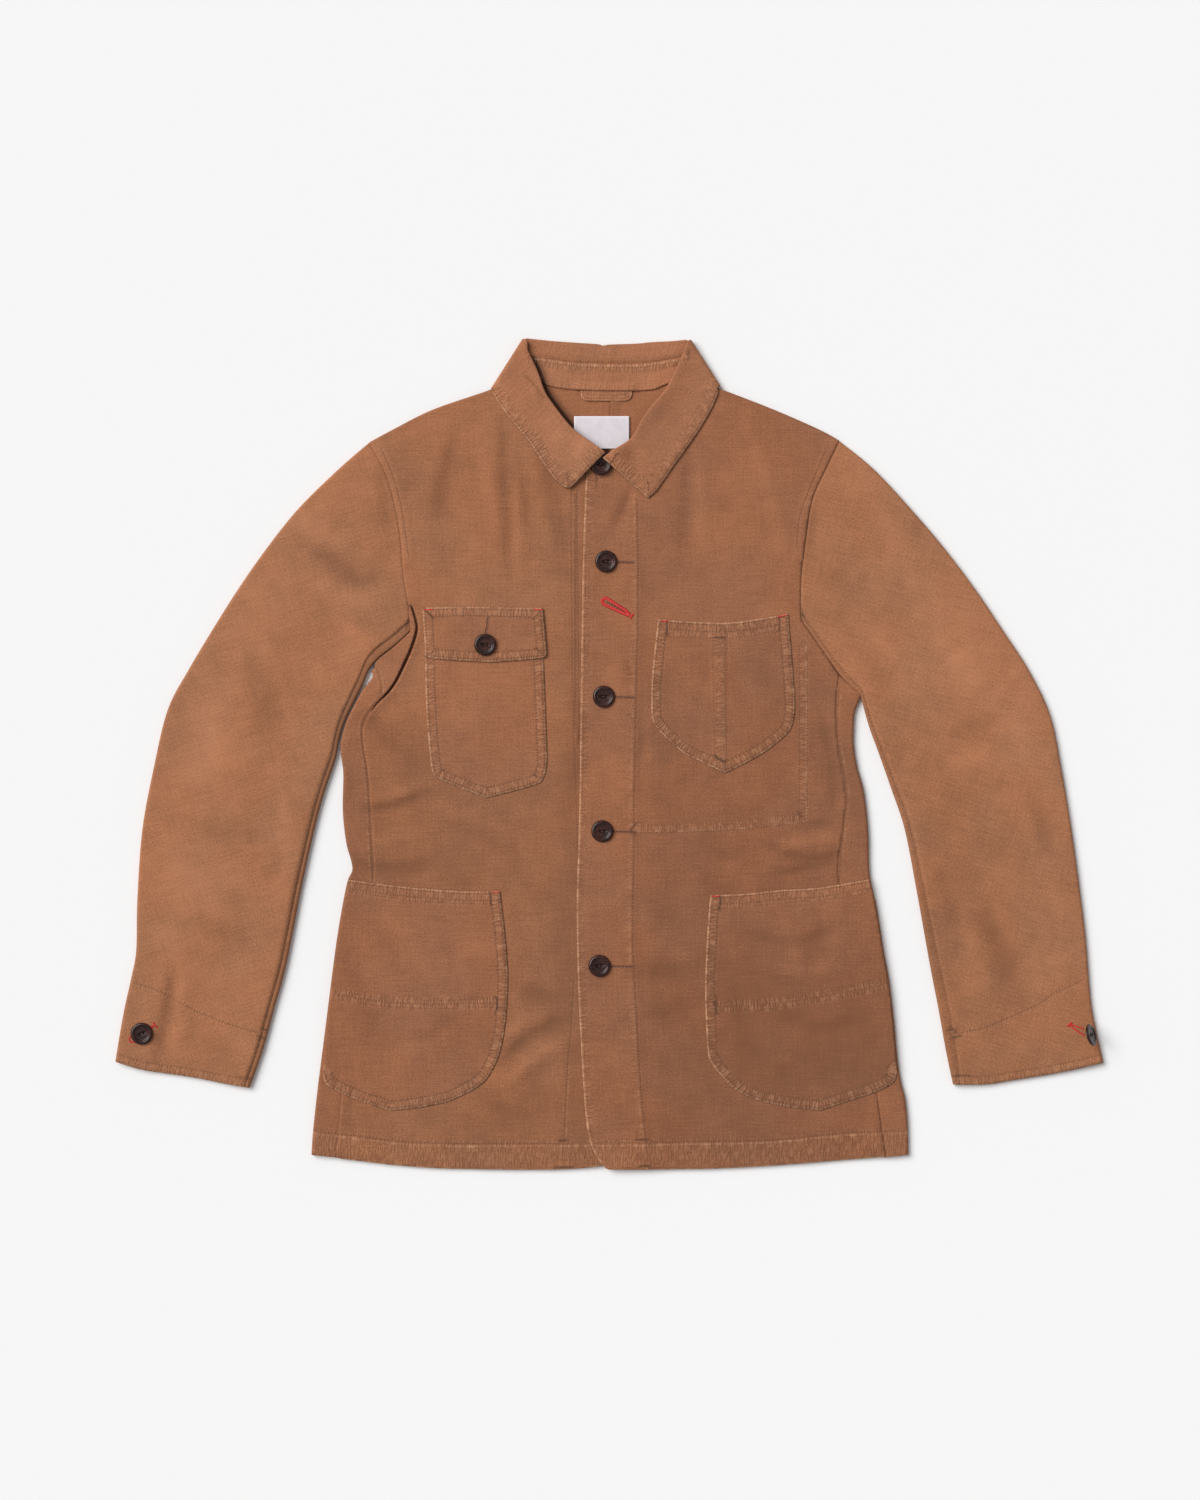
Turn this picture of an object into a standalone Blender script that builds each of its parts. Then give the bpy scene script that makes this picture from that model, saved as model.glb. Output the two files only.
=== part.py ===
# Chore jacket laid flat on its back, as sewn pieces of canvas.
# Metres, +Z up. The collar points to +Y and the wearer's right arm to -X.
# The origin is on the surface, under the middle of the jacket's box.
# Tables are in millimetres, because that is how a cutter measures; mm turns them into metres.

import math

import bmesh
import bpy
from mathutils import Vector

mm = 0.001

# cloth
WALL = 1.2 * mm              # one layer of washed canvas
SEAM = 0.3 * mm              # room between pieces that meet
LAYER = WALL + SEAM          # from one layer's middle to the next one's
FLOOR_LAYER = WALL / 2       # middle of the layer that lies on the surface
CELL = 30 * mm               # spacing of the panels' points

# how the upper layer lies on the lower one
TOUCH = LAYER + 0.3 * mm     # at the shoulder seams, where the layers are sewn together
LOFT = 1.1 * mm              # more than that over the middle of a panel
FOLD_RISE = 1.7 * mm         # more than that along a rolled side or sleeve edge
ROLL_REACH = 26 * mm
SHOULDER_REACH = 14 * mm
MAX_AIR = 3.8 * mm           # the layers stay closer than this

# front overlap
OVERLAP_EDGE = 19.5 * mm     # hidden edge of the under front, from the middle
OVERLAP_LIFT = LAYER + 0.4 * mm
OVERLAP_RAMP = 38 * mm

# collar
ROLL = 0.9 * mm              # bend of the collar's roll, to the middle of the cloth
ROLL_PUFF = 1.6 * mm         # how far the leaf stands up along its roll
LEAF_EASE = 0.7 * mm
TURN_UNDER = 4 * mm          # how far the roll turns in under the wings
COLLAR_LIFT = LAYER          # the back lies on the collar's fall near the neck
LIFT_FLAT = 12 * mm          # it stays up this far past the fall's edge
LIFT_RAMP = 60 * mm

# buttons, 32 line
BUTTON_RADIUS = 10 * mm
BUTTON_HEIGHT = 3 * mm
BUTTON_SIDES = 14
BUTTON_EASE = 0.2 * mm
BUTTON_PROFILE = (
    # radius and height from the button's underside, as shares of its radius and its height
    (0, 0.62), (0.45, 0.62), (0.62, 0.9), (0.72, 1), (0.88, 1), (1, 0.72), (1, 0.4), (0.8, 0), (0, 0),
)

# sleeves
TOP_SEAM = 6.5 * mm          # seams between the top and the under piece, from the sleeve's folds
BACK_SEAM = 9 * mm
SLEEVE_ROWS = 18
SLEEVE_COLUMNS = (0.14, 0.28, 0.43, 0.58, 0.72, 0.86)
SLEEVE_START = 0.0008        # share of a sleeve's length kept clear at the armhole

# chest flap
FLAP_SEAM = 126 * mm         # above this line the flap lies on the front
FLAP_DROP = 16 * mm

# Outlines, x and y from the middle of the jacket, measured with it lying flat.
SHOULDER = {
    "right": [(-73, 345.5), (-110.5, 330), (-161.5, 312.5), (-197.5, 294.5), (-219.5, 282.5)],
    "left": [(66, 345), (100.5, 331), (148.5, 312.5), (189.5, 294.5), (207.5, 284.5)],
}
ARMHOLE = {
    "right": [(-219.5, 282.5), (-205, 256.5), (-197, 231), (-191, 199), (-188, 162.5), (-183.5, 135),
              (-181.5, 111)],
    "left": [(207.5, 284.5), (196, 260), (183, 231), (177, 194.5), (173, 158), (172.5, 122)],
}
UNDERARM = {
    "right": [(-181.5, 111), (-196, 96.5), (-214, 85.5), (-228, 75), (-233, 62.5)],
    "left": [(172.5, 122), (186, 102.5), (199.5, 83.5), (213, 67.5), (227.5, 50)],
}
BODY_UNDERARM = {"right": 3, "left": 4}      # the body follows this many points of it
ARMPIT = {                                   # from there the front turns down to its side seam
    "right": [(-221, 69), (-207.5, 64.5)],
    "left": [(220.5, 55.5), (205, 46.5)],
}
SIDE_SEAM = {
    "right": [(-208, 62), (-217, 42), (-224.5, 24), (-224, 8), (-220, -17), (-217, -60), (-215, -114),
              (-222, -160), (-231, -210), (-240, -270), (-249, -366)],
    "left": [(205, 43.5), (205, 25), (207, 3), (213, -34), (212, -60), (207, -97), (207.5, -118),
             (214, -160), (224, -210), (236, -270), (250, -366)],
}
SIDE_FOLD = {
    "right": [(-223, 66), (-233, 36), (-240.5, 12), (-242.5, -20), (-243, -52), (-240, -80), (-235, -109),
              (-240.5, -142), (-249.5, -178), (-259, -250), (-266, -305), (-270, -342), (-271.5, -364)],
    "left": [(223.5, 50.5), (222, 32), (221, 10), (224, -12), (230, -34), (234, -69), (234.5, -105),
             (239, -135), (247.5, -178), (257.5, -250), (266, -318), (270.5, -364)],
}
HEM = {
    "right": [(-271.5, -364), (-246, -367), (-191.5, -373.5), (-137, -376.5), (-46, -377), (0, -373)],
    "left": [(270.5, -364), (236, -366.5), (154, -373), (100, -376), (40, -377), (0, -377)],
}
SLEEVE_OUTER = {
    "right": [(-219.5, 282.5), (-247.5, 258), (-284, 222), (-313, 185.5), (-338.5, 149), (-361.5, 112.5),
              (-383, 76.5), (-402, 40), (-415, -14.5), (-425, -69), (-429.5, -132.5), (-430.5, -178),
              (-435, -203), (-442, -235), (-449.5, -279)],
    "left": [(207.5, 284.5), (239.5, 258), (273, 222), (304, 185.5), (331.5, 149), (356, 112.5),
             (379.5, 76.5), (399, 35.5), (409.5, -14.5), (418.5, -69), (426, -123.5), (431.5, -169),
             (436, -223.5), (442, -255.5), (447.5, -280)],
}
SLEEVE_INNER = {
    "right": [(-233, 62.5), (-241, 31), (-249.5, -5.5), (-260, -37), (-268.5, -69), (-280.5, -123.5),
              (-287.5, -160), (-295, -196.5), (-305, -232.5), (-315, -269), (-327, -303)],
    "left": [(227.5, 50), (235, 24), (243, 2), (255, -32.5), (267, -69), (277.5, -123.5), (284, -160),
             (290.5, -196.5), (297.5, -232.5), (304, -269), (310.5, -300)],
}
CUFF = {
    "right": [(-449.5, -279), (-423, -287), (-382, -293), (-346, -300), (-327, -303)],
    "left": [(447.5, -280), (408.5, -289), (363, -296.5), (339.5, -300), (310.5, -300)],
}
FRONT_NECK = {
    "right": [(OVERLAP_EDGE / mm, 263), (0, 264), (-13, 267), (-26, 276), (-38.5, 291), (-49.5, 308),
              (-62, 328), (-73, 345.5)],
    "left": [(-22, 258), (-6, 262), (10, 268), (24, 279), (37, 295), (48, 312), (57, 330), (66, 345)],
}
PLACKET_EDGE = [(-4, -376), (-12, -366), (-19, -350), (-23, -323), (-26, -278), (-29.5, -205), (-30.5, -132),
                (-28.5, -60), (-27, 49), (-25, 176), (-22, 258)]
BACK_NECK = {
    "right": [(0, 330), (-27.5, 331), (-55, 333), (-68, 339), (-73, 345.5)],
    "left": [(0, 330), (27, 330), (47.5, 333), (60, 338), (66, 345)],
}

# Collar: the roll (its upper edge), the leaf's outer edge and the side where it turns to the back
WING_ROLL = {
    "right": [(-9, 272), (-17, 280), (-32.5, 293.5), (-42, 304), (-52.5, 318), (-59.5, 329), (-66, 347),
              (-73, 362), (-79, 375)],
    "left": [(-5.5, 269.5), (3, 276), (12, 281), (20, 288), (27, 301), (36, 314.5), (47, 327), (54, 338),
             (61.5, 353.5), (70, 373)],
}
WING_EDGE = {
    "right": [(-38, 242), (-46, 245.5), (-59.5, 262), (-73, 278), (-87, 296.5), (-100.5, 314.5),
              (-109.5, 331)],
    "left": [(34, 232), (42, 237), (49.5, 246.5), (67.5, 270), (77, 285), (86, 299), (94, 314), (100, 330)],
}
COLLAR_SIDE = {"right": [(-81.5, 376.5), (-107.5, 337)], "left": [(73, 375.5), (98, 336)]}
BACK_ROLL = [(-76, 377.5), (-53, 376.5), (-37, 374), (-9.5, 372.5), (17.5, 373), (31.5, 375), (56, 375),
             (68, 376)]
BAND_SEAM = [(-74, 361), (-46, 353.5), (-27.5, 351), (8.5, 350), (27, 351.5), (45, 354.5), (67.5, 361)]
FALL_EDGE = [(-104, 332), (-95, 320), (-75, 310), (-40, 304), (0, 302), (40, 304), (68, 310), (86, 319),
             (94.5, 334)]
STAND_NECK = [(-70, 349), (-66, 343), (-54, 336), (-27.5, 333), (8.5, 332), (36, 333), (46, 336),
              (59, 342), (64, 349)]

# Pockets, flap, label and loop
CHEST_POCKET = {
    "sides": [[(-62, 112), (-59.5, 58), (-57.5, 3), (-57.5, -10)], [(-162.5, -12), (-164, -1), (-167.5, 49),
              (-168, 112)]],
    "bottom": [(-57.5, -10), (-60, -20), (-68, -28), (-112.5, -40), (-152, -24), (-160, -20), (-162.5, -12)],
}
SHIELD_POCKET = {
    "sides": [[(161.5, 127), (163, 108), (167, 58), (167.5, 40)], [(37, 38), (37.5, 67.5), (41.5, 108),
              (43, 122)]],
    "bottom": [(167.5, 40), (165, 26), (158, 16), (136, -1), (104, -17.5), (77, -6.5), (48, 17), (39, 28),
               (37, 38)],
    "top": [(43, 122), (99.5, 119), (130, 122), (161.5, 127)],
}
CHEST_FLAP = {
    "top": [(-170.5, 132.5), (-127.5, 133.5), (-61.5, 132)],
    "right": [(-61.5, 132), (-58.5, 99), (-58, 91)],
    "bottom": [(-58, 91), (-62, 87), (-91.5, 84.5), (-114, 83.5), (-164, 87), (-168, 92)],
    "left": [(-168, 92), (-169, 108), (-170.5, 132.5)],
}
LOWER_POCKET = {
    "right": {
        "top": [(-236, -114), (-191.5, -120), (-137, -124.5), (-100.5, -124.5)],
        "inner": [(-100.5, -124.5), (-96, -160), (-93, -205.5), (-96, -250), (-101.5, -275)],
        "bottom": [(-101.5, -275), (-112.5, -292), (-135, -307), (-199.5, -323.5), (-246, -309),
                   (-259, -300), (-261, -290)],
        "outer": [(-261, -290), (-258, -256), (-252.5, -210), (-247.5, -178), (-239, -142), (-236, -114)],
    },
    "left": {
        "top": [(90.5, -128), (120, -127), (154, -123.5), (190.5, -121), (234, -113.5)],
        "inner": [(88.5, -273.5), (86.5, -240), (86, -205.5), (88, -160), (90.5, -128)],
        "bottom": [(260, -288), (257, -299), (227, -313.5), (190.5, -323.5), (127, -313), (100.5, -297),
                   (88.5, -273.5)],
        "outer": [(234, -113.5), (239, -142), (246, -178), (252, -214.5), (256, -251), (260, -288)],
    },
}
LABEL = {"x": (-33, 17), "y": (277, 306.5)}
LOOP = {"x": (-26, 19.5), "y": (318, 328.5), "corner": 4}

# Folds of the upper layer: centre, direction from +X, half length, half width and height
FOLDS = (
    # x, y, degrees, length, width, height
    (-155, 235, 80, 70, 22, 1.3),       # drape from the right shoulder
    (-95, 200, 84, 80, 16, 0.8),
    (128, 240, 98, 75, 22, 1.3),        # drape from the left shoulder
    (70, 205, 95, 60, 14, 0.7),
    (-200, 78, 52, 34, 12, 1.4),        # tuck at the right armpit
    (-36, 279, 0, 26, 22, 1.9),         # over the neck label
    (-60, -265, 35, 55, 16, 1.3),       # lower right front
    (-92, -298, 35, 60, 12, -0.9),
    (-130, -190, 15, 50, 14, 0.9),      # lower right pocket
    (190, -85, 20, 60, 15, 1.3),        # over the left pocket
    (175, -110, 20, 60, 12, -0.8),
    (170, -175, 88, 45, 13, 1.2),       # lower left pocket
    (205, -165, 92, 60, 12, 0.9),
    (178, -255, 40, 40, 14, 1.0),
    (-330, 60, 62, 110, 26, 1.4),       # sleeves, along their middle
    (310, 75, 118, 110, 26, 1.3),
    (-365, -20, 15, 40, 14, 1.2),       # elbows
    (350, -10, 165, 40, 14, 1.2),
    (-385, -150, 82, 70, 22, 1.2),      # forearms
    (370, -150, 98, 70, 22, 1.2),
    (-410, -245, 75, 40, 12, 0.9),
)

MATERIALS = {
    # name: red, green, blue, roughness
    "canvas": (0.32, 0.135, 0.07, 0.85),
    "canvas_inside": (0.30, 0.125, 0.065, 0.9),
    "label_tape": (0.75, 0.70, 0.73, 0.7),
    "horn": (0.03, 0.015, 0.016, 0.25),
}


# ---------------------------------------------------------------- curves in the plane

def spline(points, steps=6):
    """Smooth curve through points given in millimetres, as a list of points in metres."""
    ends = [points[0]] + list(points) + [points[-1]]
    curve = []
    for i in range(1, len(ends) - 2):
        a, b, c, d = [Vector(p) for p in ends[i - 1:i + 3]]
        for k in range(steps):
            t = k / steps
            curve.append(0.5 * ((2 * b) + (c - a) * t + (2 * a - 5 * b + 4 * c - d) * t * t
                                + (3 * b - a - 3 * c + d) * t ** 3) * mm)
    curve.append(Vector(points[-1]) * mm)
    return curve


def along(curve, t):
    """Point at the share t of a curve's length."""
    lengths = [(b - a).length for a, b in zip(curve, curve[1:])]
    reach = max(0.0, min(1.0, t)) * sum(lengths)
    for start, end, length in zip(curve, curve[1:], lengths):
        if reach <= length:
            return start.lerp(end, reach / length)
        reach -= length
    return curve[-1].copy()


def path(shares, *curves):
    """One curve as a function of t, which gives each of its stretches its own share of t."""
    def at(t):
        start = 0.0
        for share, curve in zip(shares, curves):
            if t <= start + share + 1e-9:
                return along(curve, (t - start) / share)
            start += share
        return curves[-1][-1].copy()
    return at


def joined(*curves):
    """Curves end to end as one closed outline, without doubled corners."""
    outline = []
    for curve in curves:
        for point in curve:
            if not outline or (point - outline[-1]).length > 0.5 * mm:
                outline.append(point)
    if (outline[0] - outline[-1]).length < 0.5 * mm:
        outline.pop()
    return outline


def distance(point, curve):
    """Shortest distance in the plane from a point to a curve."""
    nearest = 1.0
    for start, end in zip(curve, curve[1:]):
        side = end - start
        share = max(0.0, min(1.0, (point - start).dot(side) / side.length_squared))
        nearest = min(nearest, (point - start - share * side).length)
    return nearest


def smooth(value):
    value = max(0.0, min(1.0, value))
    return value * value * (3 - 2 * value)


def inward(outline, room):
    """The outline moved in by the given room, so that it stays clear of its neighbours."""
    area = sum(a.cross(b) for a, b in zip(outline, outline[1:] + outline[:1]))
    turn = 1 if area > 0 else -1
    moved = []
    for i, point in enumerate(outline):
        tangent = (outline[(i + 1) % len(outline)] - outline[i - 1]).normalized()
        moved.append(point + room * turn * Vector((-tangent.y, tangent.x)))
    return moved


EDGES = [spline(table[side], 3) for table in (SIDE_FOLD, SLEEVE_OUTER, SLEEVE_INNER) for side in table]
SHOULDERS = [spline(SHOULDER[side], 3) for side in SHOULDER]
FALL = spline(FALL_EDGE, 3)


# ---------------------------------------------------------------- heights of the layers

def fold_height(point):
    """Sum of the folds at a point."""
    total = 0.0
    for x, y, degrees, length, width, height in FOLDS:
        away = point - Vector((x, y)) * mm
        turn = math.radians(degrees)
        lengthwise = (away.x * math.cos(turn) + away.y * math.sin(turn)) / (length * mm)
        across = (away.y * math.cos(turn) - away.x * math.sin(turn)) / (width * mm)
        total += height * mm * math.exp(-lengthwise ** 2 - across ** 2)
    return total


def lower(point):
    """Middle of the back's cloth: on the surface, and up on the collar's fall near the neck."""
    above = FALL[0].x < point.x < FALL[-1].x and point.y > along(FALL, 0.5).y
    away = 0.0 if above else distance(point, FALL)
    return FLOOR_LAYER + COLLAR_LIFT * smooth(1 - (away - LIFT_FLAT) / LIFT_RAMP)


def upper(point):
    """Middle of the upper layer's cloth, for the fronts and the tops of the sleeves."""
    edge = min(distance(point, curve) for curve in EDGES)
    seam = min(distance(point, curve) for curve in SHOULDERS)
    rise = LOFT + FOLD_RISE * math.exp(-(edge / ROLL_REACH) ** 2)
    rise += fold_height(point) * smooth(edge / (2 * ROLL_REACH))
    rise = max(0.0, min(MAX_AIR + WALL - TOUCH, rise))
    return lower(point) + TOUCH + rise * (1 - math.exp(-(seam / SHOULDER_REACH) ** 2))


def right_front(point):
    return upper(point)


def left_front(point):
    """The left front lies on the right one as far as the hidden edge reaches."""
    return upper(point) + OVERLAP_LIFT * (1 - smooth((point.x - OVERLAP_EDGE - 3 * mm) / OVERLAP_RAMP))


def above(surface, layers=1, ease=0.0):
    """The same surface, a number of layers up."""
    return lambda point: surface(point) + layers * LAYER + ease


BUTTONS = {
    # name: x, y, surface it lies on, layers over it, tilt from flat and turn in the plane in degrees
    "button_neck": (-8.5, 262.5, left_front, 0, 0, 0),
    "button_front_1": (-4, 174.5, left_front, 0, 0, 0),
    "button_front_2": (-6, 52, left_front, 0, 0, 0),
    "button_front_3": (-7.5, -70, left_front, 0, 0, 0),
    "button_front_4": (-10, -192, left_front, 0, 0, 0),
    "button_flap": (-113.5, 99, right_front, 2, 0, 0),
    "button_cuff_right": (-425, -253.5, upper, 0, 0, 0),
    "button_cuff_left": (433, -254.5, upper, 0, 60, 18),
}


# ---------------------------------------------------------------- building blocks

def clear_scene():
    for item in list(bpy.data.objects):
        bpy.data.objects.remove(item)


def collection(name):
    group = bpy.data.collections.new(name)
    bpy.context.scene.collection.children.link(group)
    return group


def material(name):
    if name not in bpy.data.materials:
        red, green, blue, roughness = MATERIALS[name]
        made = bpy.data.materials.new(name)
        made.use_nodes = True
        shader = made.node_tree.nodes["Principled BSDF"]
        shader.inputs["Base Color"].default_value = (red, green, blue, 1)
        shader.inputs["Roughness"].default_value = roughness
        shader.inputs["Metallic"].default_value = 0
    return bpy.data.materials[name]


def to_object(name, bm, group, slot=None):
    mesh = bpy.data.meshes.new(name)
    bm.to_mesh(mesh)
    bm.free()
    made = bpy.data.objects.new(name, mesh)
    group.objects.link(made)
    if slot:
        mesh.materials.append(material(slot))
    return made


def cutter(name, outline):
    """Upright block with the given outline, which keeps what lies inside it."""
    bm = bmesh.new()
    face = bm.faces.new([bm.verts.new((p.x, p.y, -10 * mm)) for p in outline])
    top = bmesh.ops.extrude_face_region(bm, geom=[face])["geom"]
    for vert in (item for item in top if isinstance(item, bmesh.types.BMVert)):
        vert.co.z = 40 * mm
    bmesh.ops.recalc_face_normals(bm, faces=bm.faces)
    block = to_object("cut_" + name, bm, CUTTERS)
    block.display_type = "WIRE"
    block.hide_render = True
    return block


def flat_piece(name, surface, outline, slot="canvas"):
    """A piece cut to an outline from a wall that follows a surface.

    The walls share their points, so one piece lies parallel on the other."""
    low_x = math.floor(min(p.x for p in outline) / CELL) - 1
    high_x = math.ceil(max(p.x for p in outline) / CELL) + 1
    low_y = math.floor(min(p.y for p in outline) / CELL) - 1
    high_y = math.ceil(max(p.y for p in outline) / CELL) + 1
    bm = bmesh.new()
    bmesh.ops.create_grid(bm, x_segments=high_x - low_x, y_segments=high_y - low_y, size=0.5)
    for vert in bm.verts:
        place = Vector((low_x + (vert.co.x + 0.5) * (high_x - low_x),
                        low_y + (vert.co.y + 0.5) * (high_y - low_y))) * CELL
        vert.co = (place.x, place.y, surface(place) - WALL / 2)
    bmesh.ops.triangulate(bm, faces=bm.faces)
    top = bmesh.ops.extrude_face_region(bm, geom=bm.faces[:])["geom"]
    for vert in (item for item in top if isinstance(item, bmesh.types.BMVert)):
        vert.co.z += WALL
    bmesh.ops.recalc_face_normals(bm, faces=bm.faces)
    trim = to_object(name, bm, JACKET, slot).modifiers.new("outline", "BOOLEAN")
    trim.operation = "INTERSECT"
    trim.object = cutter(name, inward(outline, SEAM / 2))


def sheet(name, rows, slot="canvas", skip=lambda row, column: False):
    """Cloth through rows of points. skip names the cells that the cloth leaves out."""
    bm = bmesh.new()
    bmesh.ops.create_grid(bm, x_segments=len(rows[0]) - 1, y_segments=len(rows) - 1, size=0.5)
    cells = {}
    for vert in bm.verts:
        column = round((vert.co.x + 0.5) * (len(rows[0]) - 1))
        row = round((vert.co.y + 0.5) * (len(rows) - 1))
        cells[vert] = (row, column)
    empty = [face for face in bm.faces
             if skip(min(cells[v][0] for v in face.verts), min(cells[v][1] for v in face.verts))]
    for vert, (row, column) in cells.items():
        vert.co = rows[row][column]
    bmesh.ops.delete(bm, geom=empty, context="FACES")
    cloth = to_object(name, bm, JACKET, slot).modifiers.new("cloth", "SOLIDIFY")
    cloth.thickness = WALL
    cloth.offset = 0


def patch(start, end, low, high, u, v):
    """Point of a four-sided patch. Its sides are paths: start and end along v, low and high along u."""
    corners = (start(0) * (1 - u) * (1 - v) + end(0) * u * (1 - v)
               + start(1) * (1 - u) * v + end(1) * u * v)
    return start(v) * (1 - u) + end(v) * u + low(u) * (1 - v) + high(u) * v - corners


def rolled(edge, toward, low_z, high_z, angle):
    """Point on a rolled fold. edge is the fold's outside and toward points into the cloth."""
    radius = (high_z - low_z) / 2
    reach = WALL / 2 + radius * (1 - math.cos(math.radians(angle)))
    place = edge + toward * reach
    return Vector((place.x, place.y, low_z + radius * (1 + math.sin(math.radians(angle)))))


def at_height(place, height):
    return Vector((place.x, place.y, height))


# ---------------------------------------------------------------- the jacket's pieces

SIDES = {"right": -1, "left": 1}
FOLD_ANGLES = (-90, -40, 10, 60, 90)     # round a fold, from the surface to the upper layer
SIDE_ROWS = 15                           # points along a side seam, shared by the back and the front


def back_half(side):
    """Half of the back: flat on the surface, then round the side fold to the side seam."""
    sign = SIDES[side]
    flat_cells, underarm_rows, arm_rows = 8, 3, 7
    rows_in_all = SIDE_ROWS + underarm_rows + arm_rows
    shares = [count / rows_in_all for count in (SIDE_ROWS, underarm_rows, arm_rows)]
    fold = spline(SIDE_FOLD[side])[::-1]
    seam = spline(SIDE_SEAM[side])[::-1]
    underarm = [fold[-1]] + spline(UNDERARM[side][:BODY_UNDERARM[side]])[::-1]
    outer = path(shares, fold, underarm, spline(ARMHOLE[side])[::-1])
    hem = path((1,), spline(HEM[side])[::-1])
    top = path((0.33, 0.67), spline(BACK_NECK[side]), spline(SHOULDER[side]))
    middle = path((1,), [hem(0), top(0)])
    toward = Vector((-sign, 0))
    rows = []
    for row in range(rows_in_all + 1):
        v = row / rows_in_all
        on_side = row <= SIDE_ROWS
        edge = outer(v)
        rise = upper(edge)
        reach = WALL / 2 + (rise - FLOOR_LAYER) / 2 if on_side else SEAM / 2
        line = []
        for column in range(flat_cells + 1):
            place = patch(middle, outer, hem, top, column / flat_cells, v)
            if column == 0:
                place.x += sign * SEAM / 2
            if column == flat_cells:
                place += toward * reach
            line.append(at_height(place, lower(place)))
        line += [rolled(edge, toward, FLOOR_LAYER, rise, angle) for angle in FOLD_ANGLES[1:]]
        start = line[-1].to_2d()
        end = along(seam, v / shares[0]) + Vector((sign * SEAM, 0))
        for share in (0.5, 1.0):
            place = start.lerp(end, share)
            line.append(at_height(place, upper(place)))
        rows.append(line)
    sheet("back_" + side, rows, "canvas_inside",
          lambda row, column: row >= SIDE_ROWS and column >= flat_cells)


def front_outline(side):
    """Shoulder, armhole, underarm, side seam, hem, front edge and neck."""
    seam = [along(spline(SIDE_SEAM[side]), row / SIDE_ROWS) for row in range(SIDE_ROWS + 1)]
    hem = [p for p in spline(HEM[side]) if abs(p.x) < abs(seam[-1].x) - 2 * mm]
    corners = [Vector(p) * mm for p in ARMPIT[side]]
    underarm = spline(UNDERARM[side][:BODY_UNDERARM[side]])
    if side == "right":
        edge = [Vector((OVERLAP_EDGE, -372 * mm)), Vector((OVERLAP_EDGE, 263 * mm))]
    else:
        edge = spline(PLACKET_EDGE)
    return joined(spline(SHOULDER[side]), spline(ARMHOLE[side]), underarm, corners, seam, hem, edge,
                  spline(FRONT_NECK[side]))


def sleeve(side):
    """Top and under piece: two half rings that meet near the inner fold and behind the outer one."""
    underarm_share = 3 / SLEEVE_ROWS
    arm = path((1,), spline(ARMHOLE[side]))
    outer = path((1,), spline(SLEEVE_OUTER[side]))
    inner = path((underarm_share, 1 - underarm_share), spline(UNDERARM[side]), spline(SLEEVE_INNER[side]))
    cuff = path((1,), spline(CUFF[side]))
    top_rows, under_rows = [], []
    for row in range(SLEEVE_ROWS + 1):
        v = SLEEVE_START + (1 - SLEEVE_START) * row / SLEEVE_ROWS

        def across(u):
            return patch(outer, inner, arm, cuff, u, v + (1 - v) * 2.5 * SLEEVE_START * u ** 4)

        fold_out = across(0)
        inside_out = (across(0.05) - fold_out).normalized()
        inside_in = (across(0.95) - across(1)).normalized()
        fold_in = across(1) + inside_in * 1.5 * SEAM
        seam_top = fold_in + inside_in * TOP_SEAM
        seam_back = fold_out + inside_out * BACK_SEAM
        middle = [across(u) for u in SLEEVE_COLUMNS]
        top = [at_height(seam_back, FLOOR_LAYER)]
        top += [rolled(fold_out, inside_out, FLOOR_LAYER, upper(fold_out), angle) for angle in FOLD_ANGLES]
        top += [at_height(place, upper(place)) for place in middle + [seam_top]]
        seam_top = seam_top - inside_in * SEAM
        seam_back = seam_back + inside_out * SEAM
        under = [at_height(seam_top, upper(seam_top))]
        under += [rolled(fold_in, inside_in, FLOOR_LAYER, upper(fold_in), angle)
                  for angle in FOLD_ANGLES[::-1]]
        under += [at_height(place, FLOOR_LAYER) for place in middle[::-1] + [seam_back]]
        top_rows.append(top)
        under_rows.append(under)
    sheet("sleeve_%s_top" % side, top_rows)
    sheet("sleeve_%s_under" % side, under_rows, "canvas_inside")


ROLLS = [spline(WING_ROLL[side], 3) for side in WING_ROLL]


def leaf_height(point):
    """Middle of a wing's cloth: over the front it lies on, up along its roll and over the neck button."""
    neck_button = Vector(BUTTONS["button_neck"][0:2]) * mm
    lift = OVERLAP_LIFT * smooth((point.x + 62 * mm) / (24 * mm))
    lift *= 1 - smooth((point.x - OVERLAP_EDGE - 3 * mm) / OVERLAP_RAMP)
    roll = min(distance(point, curve) for curve in ROLLS)
    near_button = smooth(1.6 - (point - neck_button).length / (22 * mm))
    return (upper(point) + LAYER + LEAF_EASE + lift + ROLL_PUFF * math.exp(-(roll / (10 * mm)) ** 2)
            + (BUTTON_HEIGHT + 1.4 * mm) * near_button)


def collar_line(start, end, height, normal, under):
    """Points across the collar: turned under, round the roll, then along the leaf to its edge."""
    leaf = (end - start).normalized()
    start = start + leaf * (ROLL + WALL / 2)
    shares = (0, 0.2, 0.45, 0.72, 1)
    flat = [height(start.lerp(end, share)) for share in shares]
    away = -leaf.to_3d()
    arc = [flat[0] + away * ROLL * math.sin(math.radians(turn))
           - normal * ROLL * (1 - math.cos(math.radians(turn))) for turn in (180, 120, 60)]
    tucked = arc[0] + (flat[1] - flat[0]).normalized() * TURN_UNDER
    if under:
        tucked = at_height(under, arc[0].z)
    return [tucked] + arc + flat


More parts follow.
